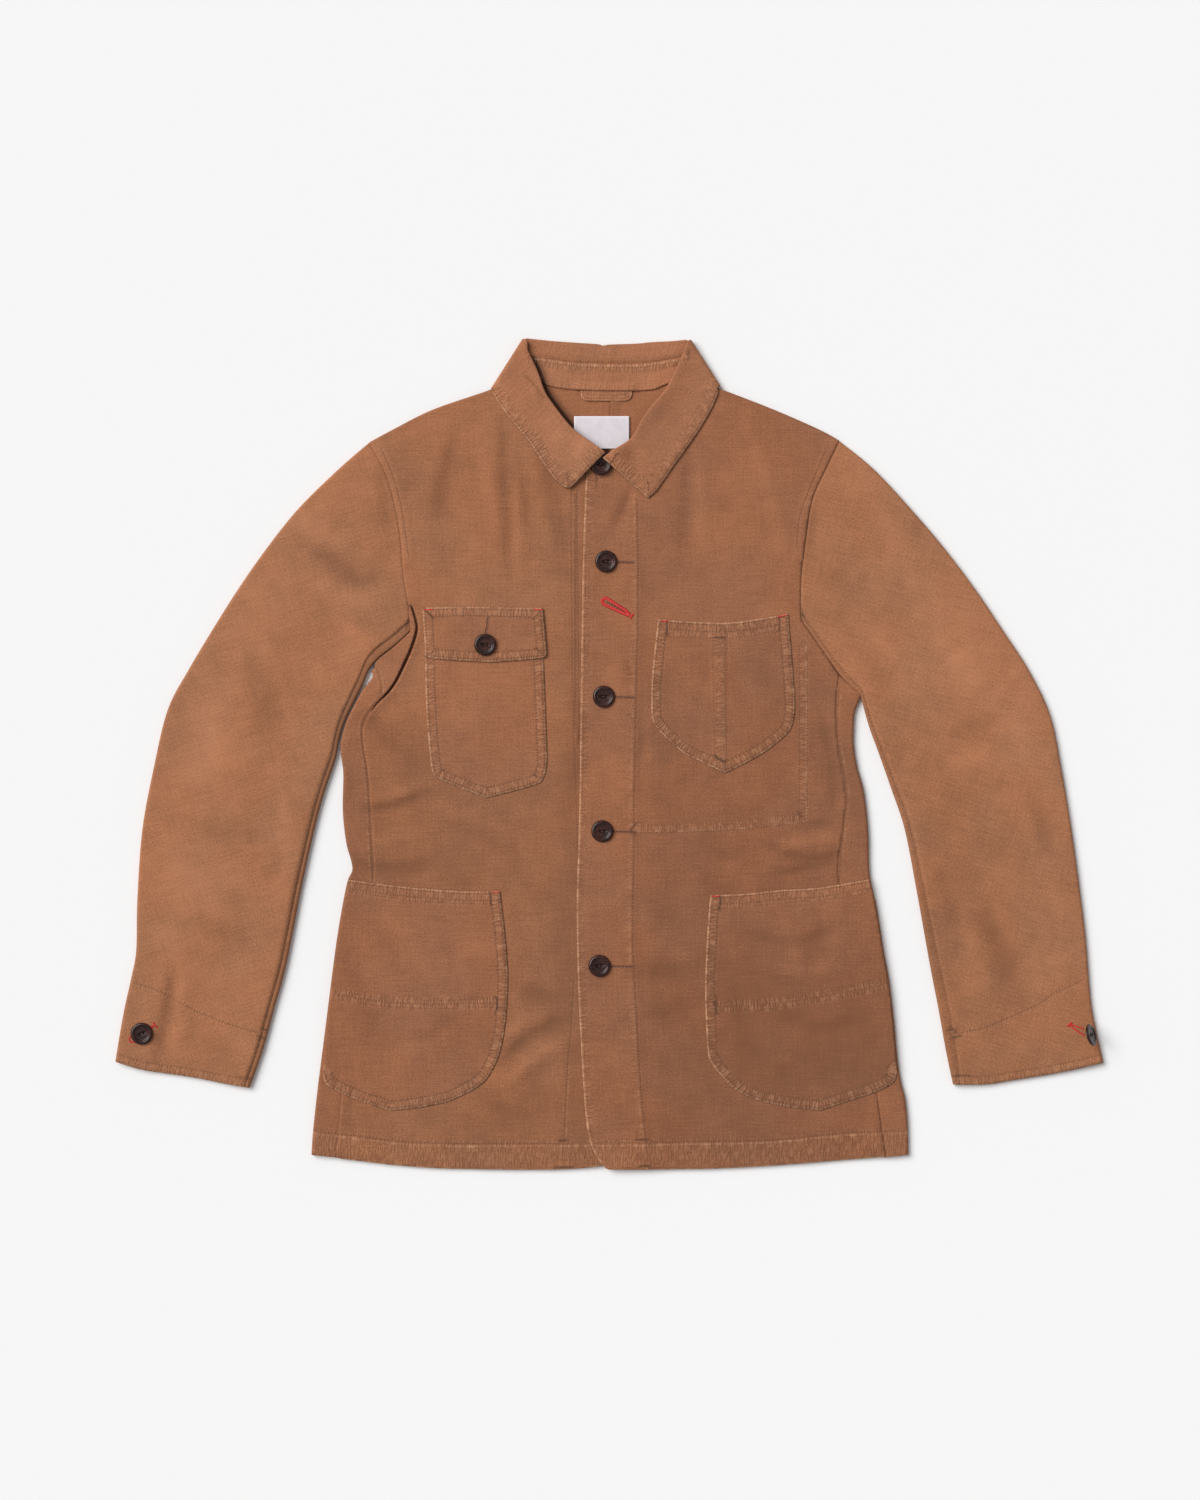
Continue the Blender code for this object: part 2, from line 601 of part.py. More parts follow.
def wing_lines(side):
    """From the wing's front edge up to the side, then round it to the back."""
    rows_in_all = 9
    roll, edge = spline(WING_ROLL[side]), spline(WING_EDGE[side])
    corner, tip = [Vector(p) * mm for p in COLLAR_SIDE[side]]
    inside = Vector(((tip - corner).y, -(tip - corner).x)).normalized() * SIDES[side]
    lines = []
    up = Vector((0, 0, 1))
    for row in range(rows_in_all):
        t = row / (rows_in_all - 1)
        lines.append(collar_line(along(roll, 0.93 * t), along(edge, 0.97 * t),
                                 lambda place: at_height(place, leaf_height(place)), up, None))
    for angle in (90, 45, 0, -45):
        turn = math.radians(angle)
        normal = up * math.sin(turn) - inside.to_3d() * math.cos(turn)
        lines.append(collar_line(corner, tip, lambda place: rolled(place, inside, FLOOR_LAYER,
                                                                   leaf_height(place), angle), normal, None))
    return lines


def collar_leaf():
    """One strip: right wing, the fall behind the neck, left wing."""
    back_rows = 10
    roll, edge, band = spline(BACK_ROLL), spline(FALL_EDGE), spline(BAND_SEAM)
    right, left = wing_lines("right"), wing_lines("left")
    down = Vector((0, 0, -1))
    back = []
    for row in range(back_rows + 1):
        t = row / back_rows
        back.append(collar_line(along(roll, t), along(edge, t),
                                lambda place: at_height(place, FLOOR_LAYER), down, along(band, t)))
    first_back = len(right)
    last_back = first_back + back_rows
    sheet("collar_leaf", right + back + left[::-1],
          skip=lambda row, column: column == 0 and (first_back - 4 <= row < first_back
                                                    or last_back <= row < last_back + 4))


def collar_stand():
    """Band between the back neck seam and the leaf."""
    rows_in_all = 12
    band, neck = spline(BAND_SEAM), spline(STAND_NECK)
    rows = []
    for row in range(rows_in_all + 1):
        t = row / rows_in_all
        high = along(band, t) - Vector((0, SEAM * 2))
        low = along(neck, t)
        rows.append([at_height(high, FLOOR_LAYER + 2 * ROLL),
                     at_height(high.lerp(low, 0.5), FLOOR_LAYER + 2 * ROLL + 0.1 * mm),
                     at_height(low, lower(low))])
    sheet("collar_stand", rows)


def rectangle(x, y, corner=0.0):
    """Outline of a rectangle with its two lower corners rounded."""
    points = [Vector((x[0], y[1])), Vector((x[1], y[1]))]
    for centre, start in (((x[1] - corner, y[0] + corner), 0), ((x[0] + corner, y[0] + corner), -90)):
        for turn in ((0, -30, -60, -90) if corner else (0,)):
            angle = math.radians(start + turn)
            points.append(Vector(centre) + corner * Vector((math.cos(angle), math.sin(angle))))
    return [p * mm for p in points]


def patch_pocket(name, surface, table):
    sides = [spline(points) for points in table["sides"]]
    top = spline(table["top"]) if "top" in table else []
    flat_piece(name, above(surface), joined(sides[0], spline(table["bottom"]), sides[1], top))


def flap_surface(point):
    """The flap lies on the front at its seam and on the pocket below it."""
    return above(right_front, 2 - smooth((point.y - FLAP_SEAM) / FLAP_DROP), 0.1 * mm)(point)


def pockets():
    patch_pocket("chest_pocket", right_front, CHEST_POCKET)
    patch_pocket("shield_pocket", left_front, SHIELD_POCKET)
    flat_piece("chest_flap", flap_surface, joined(*[spline(points) for points in CHEST_FLAP.values()]))
    for side, surface in (("right", right_front), ("left", left_front)):
        edges = LOWER_POCKET[side]
        order = {"right": ("top", "inner", "bottom", "outer"), "left": ("inner", "top", "outer", "bottom")}
        flat_piece("lower_pocket_" + side, above(surface, ease=0.3 * mm),
                   joined(*[spline(edges[name]) for name in order[side]]))


def button(name):
    """Turned button with a raised rim and a dished middle. A tilted one stands on its rim."""
    x, y, surface, layers, tilt, turn = BUTTONS[name]
    centre = Vector((x, y)) * mm
    tilt, turn = math.radians(tilt), math.radians(turn)
    if tilt:
        seats = [centre + BUTTON_RADIUS * math.cos(tilt) * Vector((math.cos(turn), math.sin(turn)))]
    else:
        angles = [math.tau * k / 12 for k in range(12)]
        seats = [centre + BUTTON_RADIUS * Vector((math.cos(angle), math.sin(angle))) for angle in angles]
    seat = max(surface(place) for place in seats + [centre][bool(tilt):])
    seat += layers * LAYER + WALL / 2 + SEAM + BUTTON_EASE
    bm = bmesh.new()
    line = [bm.verts.new((radius * BUTTON_RADIUS, 0, height * BUTTON_HEIGHT))
            for radius, height in BUTTON_PROFILE]
    for start, end in zip(line, line[1:]):
        bm.edges.new((start, end))
    made = to_object(name, bm, JACKET, "horn")
    turned = made.modifiers.new("turn", "SCREW")
    turned.steps = turned.render_steps = BUTTON_SIDES
    turned.use_merge_vertices = True
    turned.merge_threshold = 0.01 * mm
    made.rotation_euler = (0, tilt, turn)
    low = BUTTON_RADIUS * math.sin(tilt) - 0.4 * BUTTON_HEIGHT * math.cos(tilt) if tilt else 0.0
    made.location = (centre.x, centre.y, seat + low)


clear_scene()
JACKET = collection("chore_jacket")
CUTTERS = collection("cutters")
CUTTERS.hide_render = True

for half in SIDES:
    back_half(half)
    sleeve(half)
flat_piece("front_right", right_front, front_outline("right"))
flat_piece("front_left", left_front, front_outline("left"))
collar_leaf()
collar_stand()
pockets()
flat_piece("neck_label", above(lower, ease=0.3 * mm), rectangle(LABEL["x"], LABEL["y"]), "label_tape")
flat_piece("hanger_loop", above(lower, ease=0.3 * mm), rectangle(LOOP["x"], LOOP["y"], LOOP["corner"]))
for name in BUTTONS:
    button(name)
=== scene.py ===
# Chore jacket in washed canvas, laid flat on its back.
# Tables are in millimetres from the middle of the jacket; +y is the collar, +z is up.

import math

import bmesh
import bpy
import numpy as np
from mathutils import Euler, Matrix, Vector
from mathutils.bvhtree import BVHTree


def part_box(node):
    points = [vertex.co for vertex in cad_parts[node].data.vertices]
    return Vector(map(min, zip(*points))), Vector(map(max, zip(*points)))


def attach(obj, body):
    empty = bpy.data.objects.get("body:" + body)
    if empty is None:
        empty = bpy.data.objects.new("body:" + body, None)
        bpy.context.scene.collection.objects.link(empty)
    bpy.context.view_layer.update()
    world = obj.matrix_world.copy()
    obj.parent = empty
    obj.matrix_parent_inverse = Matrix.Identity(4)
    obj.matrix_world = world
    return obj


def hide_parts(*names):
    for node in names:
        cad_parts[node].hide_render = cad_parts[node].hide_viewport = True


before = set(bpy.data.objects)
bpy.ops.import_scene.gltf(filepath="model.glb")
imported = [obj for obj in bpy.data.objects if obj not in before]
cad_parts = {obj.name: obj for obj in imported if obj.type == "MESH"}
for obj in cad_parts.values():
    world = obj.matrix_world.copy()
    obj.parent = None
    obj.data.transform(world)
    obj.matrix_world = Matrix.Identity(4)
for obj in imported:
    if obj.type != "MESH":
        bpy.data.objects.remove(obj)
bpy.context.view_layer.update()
mm = 0.001
scene = bpy.context.scene
sides = {"right": -1, "left": 1}  # the wearer's

# the camera, straight above the jacket
cameraLook = {"lens": 70, "height": 2.651, "x": -0.0095, "y": 0.0036, "farthest": 50}

cameraData = bpy.data.cameras.new("camera")
cameraData.lens = cameraLook["lens"]
cameraData.clip_end = cameraLook["farthest"]
camera = bpy.data.objects.new("camera", cameraData)
camera.location = (cameraLook["x"], cameraLook["y"], cameraLook["height"])
scene.collection.objects.link(camera)
scene.camera = camera
scene.view_settings.view_transform = "Standard"

# outlines of the cut pieces
shoulder = {
    "right": [(-73, 345.5), (-110.5, 330), (-161.5, 312.5), (-197.5, 294.5), (-219.5, 282.5)],
    "left": [(66, 345), (100.5, 331), (148.5, 312.5), (189.5, 294.5), (207.5, 284.5)],
}
armhole = {
    "right": [(-219.5, 282.5), (-205, 256.5), (-197, 231), (-191, 199), (-188, 162.5), (-183.5, 135),
              (-181.5, 111)],
    "left": [(207.5, 284.5), (196, 260), (183, 231), (177, 194.5), (173, 158), (172.5, 122)],
}
underarm = {
    "right": [(-181.5, 111), (-196, 97.5), (-210, 86.5), (-219, 76), (-225, 62)],
    "left": [(172.5, 122), (185, 104.5), (198, 85.5), (211, 68), (227.5, 51.5)],
}
bodyUnderarm = 3  # the body follows this many points of it
sideSeam = {
    "right": [(-213, 83), (-209.3, 73.6), (-207, 62), (-211, 50), (-218, 39), (-224.5, 24), (-224, 8),
              (-220, -17), (-217, -60), (-215, -114), (-222, -160), (-231, -210), (-240, -270),
              (-249, -366)],
    "left": [(207.5, 70.5), (205.5, 56), (205, 43.5), (205, 25), (207, 3), (213, -34), (212, -60),
             (207, -97), (207.5, -118), (214, -160), (224, -210), (236, -270), (250, -366)],
}
sideFold = {
    "right": [(-217, 76.5), (-215.8, 70.5), (-219, 65), (-224, 59.5), (-231.7, 46), (-239.8, 29.5),
              (-244.8, 12), (-245, 2), (-243.6, -8), (-242.5, -20), (-243, -52), (-240, -80),
              (-235.4, -97), (-234.4, -106), (-238.8, -116), (-244.1, -142), (-249.8, -178), (-259, -250),
              (-266, -305), (-270, -342), (-271.5, -364)],
    "left": [(229, 55.5), (225.5, 47.5), (221.8, 37), (220.8, 20), (221, 8), (224, -12), (230, -34),
             (234, -69), (235, -105), (238.5, -125), (242, -140), (248, -178), (253, -205), (257.8, -245),
             (260.8, -278), (264, -299), (267.6, -313), (269.8, -336), (270.5, -364)],
}
hem = {
    "right": [(-271.5, -364), (-246, -367), (-191.5, -373.5), (-137, -376.5), (-46, -377), (0, -373)],
    "left": [(270.5, -364), (236, -366.5), (154, -373), (100, -376), (40, -377), (0, -377)],
}
sleeveOuter = {
    "right": [(-219.5, 282.5), (-247.5, 258), (-284, 222), (-313, 185.5), (-338.5, 149), (-361.5, 112.5),
              (-383, 76.5), (-402, 40), (-415, -14.5), (-425, -69), (-429.5, -132.5), (-430.5, -178),
              (-435, -203), (-442, -235), (-449.5, -279)],
    "left": [(207.5, 284.5), (239.5, 258), (273, 222), (304, 185.5), (331.5, 149), (356, 112.5),
             (379.5, 76.5), (399, 35.5), (409.5, -14.5), (418.5, -69), (426, -123.5), (431.5, -169),
             (436, -223.5), (442, -255.5), (447.5, -280)],
}
sleeveInner = {
    "right": [(-225, 62), (-233.5, 45), (-241.5, 28), (-246.5, 11), (-249.5, -5.5), (-260, -37),
              (-268.5, -69), (-280.5, -123.5), (-287.5, -160), (-295, -196.5), (-305, -232.5),
              (-315, -269), (-327, -303)],
    "left": [(227.5, 51.5), (235, 24), (243, 2), (255, -32.5), (267, -69), (277.5, -123.5), (284, -160),
             (290.5, -196.5), (297.5, -232.5), (304, -269), (310.5, -300)],
}
cuff = {
    "right": [(-449.5, -279), (-423, -287), (-382, -293), (-346, -300), (-327, -303)],
    "left": [(447.5, -280), (408.5, -289), (363, -296.5), (339.5, -300), (310.5, -300)],
}
frontNeck = {
    "right": [(19.5, 263), (0, 264), (-13, 267), (-26, 276), (-38.5, 291), (-49.5, 308), (-62, 328),
              (-73, 345.5)],
    "left": [(-22, 258), (-6, 262), (10, 268), (24, 279), (37, 295), (48, 312), (57, 330), (66, 345)],
}
placketEdge = [(-4, -376), (-12, -366), (-19, -350), (-23, -323), (-26, -278), (-29.5, -205),
               (-30.5, -132), (-28.5, -60), (-27, 49), (-25, 176), (-22, 258)]
backNeck = {
    "right": [(0, 333), (-27.5, 334), (-55, 335.5), (-68, 340.5), (-73, 345.5)],
    "left": [(0, 333), (27, 333), (47.5, 335.5), (60, 339.5), (66, 345)],
}
wingRoll = {
    "right": [(-4.5, 273), (-15, 280.5), (-32.5, 293.5), (-42, 304), (-52.5, 318), (-59.5, 329),
              (-66, 347), (-73, 362), (-79, 375)],
    "left": [(-7, 268), (3, 275.5), (12, 281), (20, 288), (27, 301), (36, 314.5), (47, 327), (54, 338),
             (61.5, 353.5), (70, 373)],
}
wingEdge = {
    "right": [(-36, 241.3), (-43.7, 243.3), (-55.4, 256), (-72.2, 281), (-84, 296), (-94.1, 308),
              (-103, 321), (-107.8, 329.5)],
    "left": [(34, 232), (40.4, 237.5), (47, 246), (57.2, 261), (74, 284.5), (83, 298), (90.8, 311.4),
             (96.5, 324), (98.8, 330)],
}
collarSide = {"right": [(-79.5, 377.3), (-108.7, 331.6)], "left": [(73, 376.3), (100, 334)]}
backRoll = [(-76, 377.5), (-53.7, 375.2), (-28.5, 373.4), (-11, 372.2), (-6.3, 370.6), (-2.5, 371.8),
            (23.6, 372.8), (36, 374), (56, 375), (68, 376.2)]
bandSeam = [(-74, 358), (-46, 353.5), (-27.5, 351.5), (8.5, 350.5), (27, 351), (45, 353), (67.5, 357)]
fallEdge = [(-104, 332), (-95, 320), (-75, 310), (-40, 304), (0, 302), (40, 304), (68, 310), (86, 319),
            (94.5, 334)]
standNeck = [(-70, 347), (-66, 341), (-54, 333.5), (-27.5, 330.2), (8.5, 329.4), (36, 330.3), (46, 333.5),
             (59, 339.5), (64, 347)]
chestPocket = {
    "sides": [[(-62, 112), (-59.5, 58), (-57.5, 3), (-57.5, -10)],
              [(-162.5, -12), (-164, -1), (-167.5, 49), (-168, 112)]],
    "bottom": [(-57.5, -10), (-60, -20), (-68, -28), (-112.5, -40), (-112.5, -40), (-152, -24.5),
               (-160, -20), (-162.5, -12)],
}
shieldPocket = {
    "sides": [[(161.5, 127), (163, 108), (167, 58), (167.5, 40)],
              [(37, 38), (37.5, 67.5), (41.5, 108), (43, 122)]],
    "bottom": [(167.5, 40), (165, 26), (158, 16), (136, -1), (104, -17.5), (104, -17.5), (79, -5.5),
               (66, 1), (48, 17), (39, 28), (37, 38)],
    "top": [(43, 122), (99.5, 119), (130, 122), (161.5, 127)],
}
chestFlap = {
    "top": [(-170.5, 132.5), (-127.5, 133.5), (-61.5, 132)],
    "right": [(-61.5, 132), (-58.5, 99), (-58, 91)],
    "bottom": [(-58, 91), (-62, 87), (-91.5, 84.5), (-114, 83.5), (-164, 87), (-168, 92)],
    "left": [(-168, 92), (-169, 108), (-170.5, 132.5)],
}
lowerPocket = {
    "right": {
        "top": [(-237.6, -114), (-191.5, -120), (-137, -124.5), (-100.5, -124.5)],
        "inner": [(-100.5, -124.5), (-96, -160), (-93, -205.5), (-96, -250), (-101.5, -275)],
        "bottom": [(-101.5, -275), (-114, -297), (-139, -312), (-165, -319.5), (-199.5, -323.8),
                   (-199.5, -323.8), (-226.6, -315), (-245, -307), (-257.5, -299.5), (-261, -290)],
        "outer": [(-261, -290), (-258, -256), (-254, -214), (-248.6, -178), (-243, -142), (-237.6, -114)],
    },
    "left": {
        "outer": [(235, -113.5), (241, -142), (246.8, -178), (253, -214.5), (256.8, -251), (260, -288)],
        "bottom": [(260, -288), (256.5, -298), (240, -307), (215.5, -315), (190.5, -323.5),
                   (190.5, -323.5), (166, -320.8), (140.5, -316), (122.8, -310), (111, -302.5),
                   (103, -294.5), (93.5, -283.5), (88.5, -273.5)],
        "inner": [(88.5, -273.5), (86.5, -240), (86, -205.5), (88, -160), (90.5, -128)],
        "top": [(90.5, -128), (120, -127), (154, -123.5), (190.5, -121), (235, -113.5)],
    },
}
labelPlace = {"x": (-33, 17), "y": (277, 306.5)}
loopPlace = {"x": (-27, 19.5), "y": (320.5, 334), "corner": 6}

# stitched lines inside the pieces
facingStitch = [(24.1, 230.9), (25, 176.3), (25, 121.8), (24.1, 85.4), (23.2, 49.1), (22.3, 3.6),
                (21.4, -41.8), (21.4, -87.3), (20.5, -132.7), (20.5, -178.2), (22.3, -214.5),
                (24.1, -241.8), (25.9, -278.2), (28.6, -314.5), (32.3, -350.9), (34.1, -373.6)]
underFacing = [
    [(-35.9, 240), (-35, 140), (-34.1, 49.1), (-32.3, -5.5), (-30.5, -60), (-29.5, -87.3)],
    [(-30.5, 240), (-29.5, 140), (-28.6, 49.1), (-27.7, 12.7)],
    [(-33.2, -205.4), (-35.9, -250.9), (-38.6, -278.2), (-40.5, -314.5), (-42.3, -350.9), (-43.2, -369.1)],
]
felledArmhole = {
    "right": [(-207.7, 276.3), (-199.5, 258.2), (-192.3, 235.4), (-187.7, 212.7), (-183.2, 180)],
    "left": [(197.7, 280.9), (185.9, 253.6), (176.8, 230.9), (171.3, 212.7), (169.5, 194.5),
             (169.5, 186.3)],
}
armpitGap = [(-181.3, 134.5), (-179.5, 130.9), (-175.9, 117.3), (-176.8, 108.2), (-181.3, 94.5),
             (-188.6, 78.2), (-195, 65.4), (-202.3, 55.4), (-211.3, 46.4), (-217.7, 38.2)]
sideStrip = {
    "right": [(-214.1, 85.4), (-209.5, 71.8), (-206.8, 58.2), (-209.5, 49.1), (-216.8, 41.8),
              (-222.3, 32.7), (-225, 24.5), (-224.1, 8.2), (-220.4, -16.4), (-217.7, -60), (-215, -114.5)],
    "left": [(206.8, 60), (205, 40), (205, 17.3), (206.8, 3.6), (210.4, -14.5), (213.2, -32.7),
             (213.2, -46.4), (210.4, -69.1), (207.7, -96.4), (206.8, -117.3)],
}
cuffStitch = {
    "right": [(-429.5, -208.2), (-418.6, -211.8), (-405, -217.3), (-391.3, -225.4), (-377.7, -232.7),
              (-364.1, -238.2), (-353.1, -242.7), (-336.8, -248.2), (-320.4, -252.7), (-313.2, -253.6)],
    "left": [(304.1, -254.5), (313.2, -253.6), (323.1, -251.8), (340.4, -248.2), (358.6, -240.9),
             (374.1, -233.6), (390.4, -226.3), (399.5, -219.1), (413.1, -212.7), (426.8, -205.4)],
}
hemStitch = {
    "right": [(-265.9, -342.7), (-241.3, -345.4), (-218.6, -348.1), (-191.3, -351.8), (-145.9, -353.6),
              (-100.4, -353.6), (-45.9, -353.6)],
    "left": [(34.1, -352.7), (81.4, -351.8), (135.9, -350.9), (172.3, -348.1), (217.7, -343.6),
             (267.7, -341.8)],
}
mapPocket = {
    "side": [(175, 99.1), (175, 49.1), (175, -5.5), (175, -59)],
    "bottom": [(25, -70.9), (63.2, -70.9), (117.7, -68.2), (178, -62)],
}
shieldTop = [(46.8, 106.4), (81.4, 105.4), (117.7, 105.4), (158.6, 114.5)]
shieldFold = [(101.4, 120), (102.3, 58.2), (103.2, -17.3)]
shieldRow = [(92.3, 120), (93.2, 58.2), (95, -12.7)]
lowerTop = {
    "right": [(-240.4, -124.5), (-218.6, -127.3), (-191.3, -131.8), (-164.1, -134.5), (-136.8, -135.4),
              (-100.4, -136.3)],
    "left": [(89.5, -140), (117.7, -139.1), (154.1, -135.4), (190.4, -132.7), (226.8, -127.3),
             (239.5, -124.5)],
}
lowerMiddle = {
    "right": [(-250.4, -217.3), (-218.6, -223.6), (-191.3, -226.3), (-155, -227.2), (-118.6, -226.3),
              (-95.9, -226.3)],
    "left": [(86.8, -229.1), (99.5, -229.1), (135.9, -228.2), (172.3, -223.6), (208.6, -217.3),
             (253.2, -208.2)],
}
neckStitch = [(-20.5, 247.2), (-9.5, 250), (-0.5, 251.8)]
loopStitch = [(-24.5, 327), (-14, 325.6), (4, 325.2), (17.5, 327)]

# how the layers lie, in millimetres
lay = {
    "wall": 1.2,            # one layer of canvas
    "seam": 0.3,            # room between pieces that meet
    "layer": 1.5,           # from one layer to the next that is sewn on it
    "floorLayer": 0.6,      # middle of the layer on the surface
    "touch": 1.8,           # from there to a layer that lies on it
    "loft": 1.1,            # air between the two
    "foldRise": 1.7,        # more height along a rolled edge
    "rollReach": 26,
    "shoulderReach": 14,
    "lowest": -0.4, "highest": 3.8,   # limits of the folds and creases
    "fold": 1.15, "crease": 2.2,      # factors on the two tables below
    "wave": 0.24, "ripple": 0.11,     # soft unevenness all over
    "overlapEdge": 19.5, "overlapLift": 1.9, "overlapRamp": 38,
    "collarLift": 1.5, "liftFlat": 12, "liftRamp": 60,
    "tuck": ((1.4, 0.85), (4.6, 1.25)),   # how far a seam allowance reaches under, and how far down
}
folds = (
    # x, y, degrees, length, width, height of the large folds
    (-155, 235, 80, 70, 22, 1.2), (-128, 205, 86, 60, 13, 0.6), (128, 240, 98, 75, 22, 1.2),
    (100, 205, 95, 60, 16, 0.6), (-200, 78, 52, 34, 12, 1.4), (-36, 279, 0, 26, 22, 1.9),
    (-60, -265, 35, 55, 16, 0.7), (-130, -190, 15, 50, 14, 0.8), (190, -85, 20, 60, 15, 0.9),
    (170, -175, 88, 45, 13, 0.9), (205, -165, 92, 60, 12, 0.8), (178, -255, 40, 40, 14, 0.9),
    (-330, 60, 62, 110, 26, 1.3), (310, 75, 118, 110, 26, 1.2), (-365, -20, 15, 40, 14, 0.9),
    (350, -10, 165, 40, 14, 0.9), (-385, -150, 82, 70, 22, 1.0), (370, -150, 98, 70, 22, 1.0),
    (-410, -245, 75, 40, 12, 0.8), (-244, 85, 55, 34, 14, 1.1), (267, 158, 30, 9, 6, -0.7),
    (-20, 118, 80, 26, 14, -0.4), (52, -215, 10, 34, 12, 0.7), (-160, -262, 30, 34, 12, 0.7),
    (130, -262, 150, 34, 12, 0.6), (-62, 95, 85, 60, 12, 0.5), (20, 210, 85, 30, 12, 0.5),
    (-300, 200, 50, 46, 16, 0.7), (300, 205, 130, 46, 16, 0.7), (-335, -210, 70, 40, 14, 0.6),
    (325, -225, 105, 40, 12, 0.7), (-120, 30, 70, 40, 16, 0.5), (105, 60, 95, 40, 16, 0.5),
)
creases = (
    # points of a soft ridge or trough, its half width and its height
    ([(-97, 305), (-94, 233), (-90, 160)], 6, -0.65), ([(-115, 296), (-106, 215)], 9, 0.5),
    ([(-79, 262), (-71, 187)], 7, -0.5), ([(-84, 243), (-82, 172)], 5, 0.4),
    ([(-66, 288), (-50, 232), (-38, 165)], 8, -0.75), ([(-140, 292), (-152, 240), (-158, 198)], 8, -0.8),
    ([(-279, 189), (-251, 174), (-227, 156), (-200, 158)], 7, -0.9),
    ([(-270, 160), (-238, 139), (-211, 134)], 9, 0.6), ([(-290, 214), (-255, 196), (-225, 182)], 9, 0.5),
    ([(-208, 258), (-202, 214), (-197, 178)], 6, -0.5), ([(-246, 120), (-222, 104), (-202, 100)], 6, 0.6),
    ([(-221, -51), (-192, -47), (-165, -35)], 4.5, -0.9),
    ([(-224, -40), (-192, -36), (-166, -25)], 6, 0.5),
    ([(-228, -98), (-192, -106), (-150, -98)], 6, -0.85),
    ([(-228, 34), (-198, 20), (-166, -2)], 9, -0.75), ([(-212, -78), (-170, -72)], 7, 0.4),
    ([(-160, -62), (-120, -74), (-84, -92)], 7, -0.4), ([(-150, -50), (-110, -62)], 7, 0.4),
    ([(-97, -281), (-79, -263), (-51, -247), (-28, -240)], 6, -1.0),
    ([(-93, -299), (-65, -275), (-33, -260)], 7, 0.8), ([(-100, -262), (-72, -240), (-44, -228)], 7, 0.6),
    ([(-84, -212), (-58, -222), (-34, -228)], 8, -0.7),
    ([(-112, -318), (-80, -330), (-52, -322)], 8, -0.45),
    ([(139, -81), (171, -94), (212, -101)], 4.5, -1.0),
    ([(153, -109), (185, -102), (217, -85)], 4.5, -0.8), ([(144, -94), (164, -84), (208, -76)], 5, 0.55),
    ([(171, -67), (208, -63)], 5, -0.5), ([(96, -96), (130, -88)], 7, -0.4),
    ([(34, -197), (78, -204)], 8, -0.7), ([(32, -240), (80, -231)], 9, -0.45),
    ([(40, -178), (84, -186)], 7, 0.4), ([(-200, -149), (-165, -185)], 9, 0.45),
    ([(-240, -185), (-216, -240), (-205, -285)], 9, -0.45),
    ([(-180, -262), (-140, -240), (-118, -215)], 8, -0.4),
    ([(130, -163), (171, -172), (212, -154)], 6, -0.55),
    ([(126, -185), (171, -199), (226, -186)], 8, 0.5), ([(150, -232), (190, -250), (232, -242)], 7, -0.7),
    ([(112, -205), (128, -262), (150, -292)], 8, -0.4), ([(344, -149), (367, -222)], 12, -0.8),
    ([(326, -149), (339, -230)], 11, 0.55), ([(312, 96), (335, 51)], 15, 0.8),
    ([(308, 14), (358, 33)], 9, -0.55), ([(300, -16), (352, 2)], 9, 0.45),
    ([(250, 232), (285, 196), (310, 150)], 9, -0.45), ([(232, 120), (262, 84), (280, 40)], 10, 0.5),
    ([(390, -40), (400, -110)], 9, -0.5), ([(300, -100), (318, -170)], 8, -0.4),
    ([(-329, 96), (-301, 14)], 13, -0.7), ([(-365, 51), (-347, -31)], 13, 0.5),
    ([(-397, -195), (-402, -235), (-412, -284)], 6, -0.9), ([(-386, -200), (-392, -270)], 7, 0.5),
    ([(-410, -58), (-329, -76)], 8, -0.45), ([(-404, -150), (-330, -164)], 9, -0.4),
    ([(-400, -105), (-320, -120)], 8, 0.35), ([(-300, -20), (-290, -80), (-300, -150)], 8, 0.4),
    ([(71, 278), (67, 169)], 8, -0.65), ([(84, 262), (82, 180)], 8, 0.35),
    ([(189, 233), (174, 160)], 6, -0.6), ([(126, 296), (150, 232), (158, 170)], 9, 0.45),
    ([(-150, 128), (-152, 60)], 7, 0.3), ([(-30, 60), (-22, 20), (-30, -40)], 7, -0.35),
    ([(5, 90), (8, 20)], 8, 0.3), ([(30, 30), (27, -40)], 5, -0.35),
    ([(20, 243), (12, 222), (2, 202)], 5, -0.8), ([(-216, 20), (-180, -4), (-168, -20)], 6, -0.5),
    ([(190, 40), (205, -20), (198, -60)], 6, -0.5), ([(-232, -300), (-238, -350)], 6, -0.4),
    ([(240, -315), (236, -355)], 7, 0.4),
)


def curve(points, steps=6):
    for index in range(1, len(points)):
        if tuple(points[index]) == tuple(points[index - 1]):  # a point given twice is a corner
            return np.vstack([curve(points[:index], steps)[:-1], curve(points[index:], steps)])
    p = np.array([points[0], *points, points[-1]], float)
    t = (np.arange(steps) / steps)[:, None]
    parts = [0.5 * (2 * b + (c - a) * t + (2 * a - 5 * b + 4 * c - d) * t ** 2
                    + (3 * b - a - 3 * c + d) * t ** 3) for a, b, c, d in zip(p, p[1:], p[2:], p[3:])]
    return np.vstack(parts + [p[-1:]])


def runs(line):
    return np.concatenate([[0], np.cumsum(np.hypot(*np.diff(line, axis=0).T))])


def along(line, share):
    run = runs(line)
    reach = np.clip(share, 0, 1) * run[-1]
    return np.stack([np.interp(reach, run, line[:, 0]), np.interp(reach, run, line[:, 1])], -1)


def joined(*lines):
    points = [lines[0][0]]
    for point in np.vstack(lines)[1:]:
        if np.hypot(*(point - points[-1])) > 0.5:
            points.append(point)
    if np.hypot(*(points[0] - points[-1])) < 0.5:
        points.pop()
    return np.array(points)


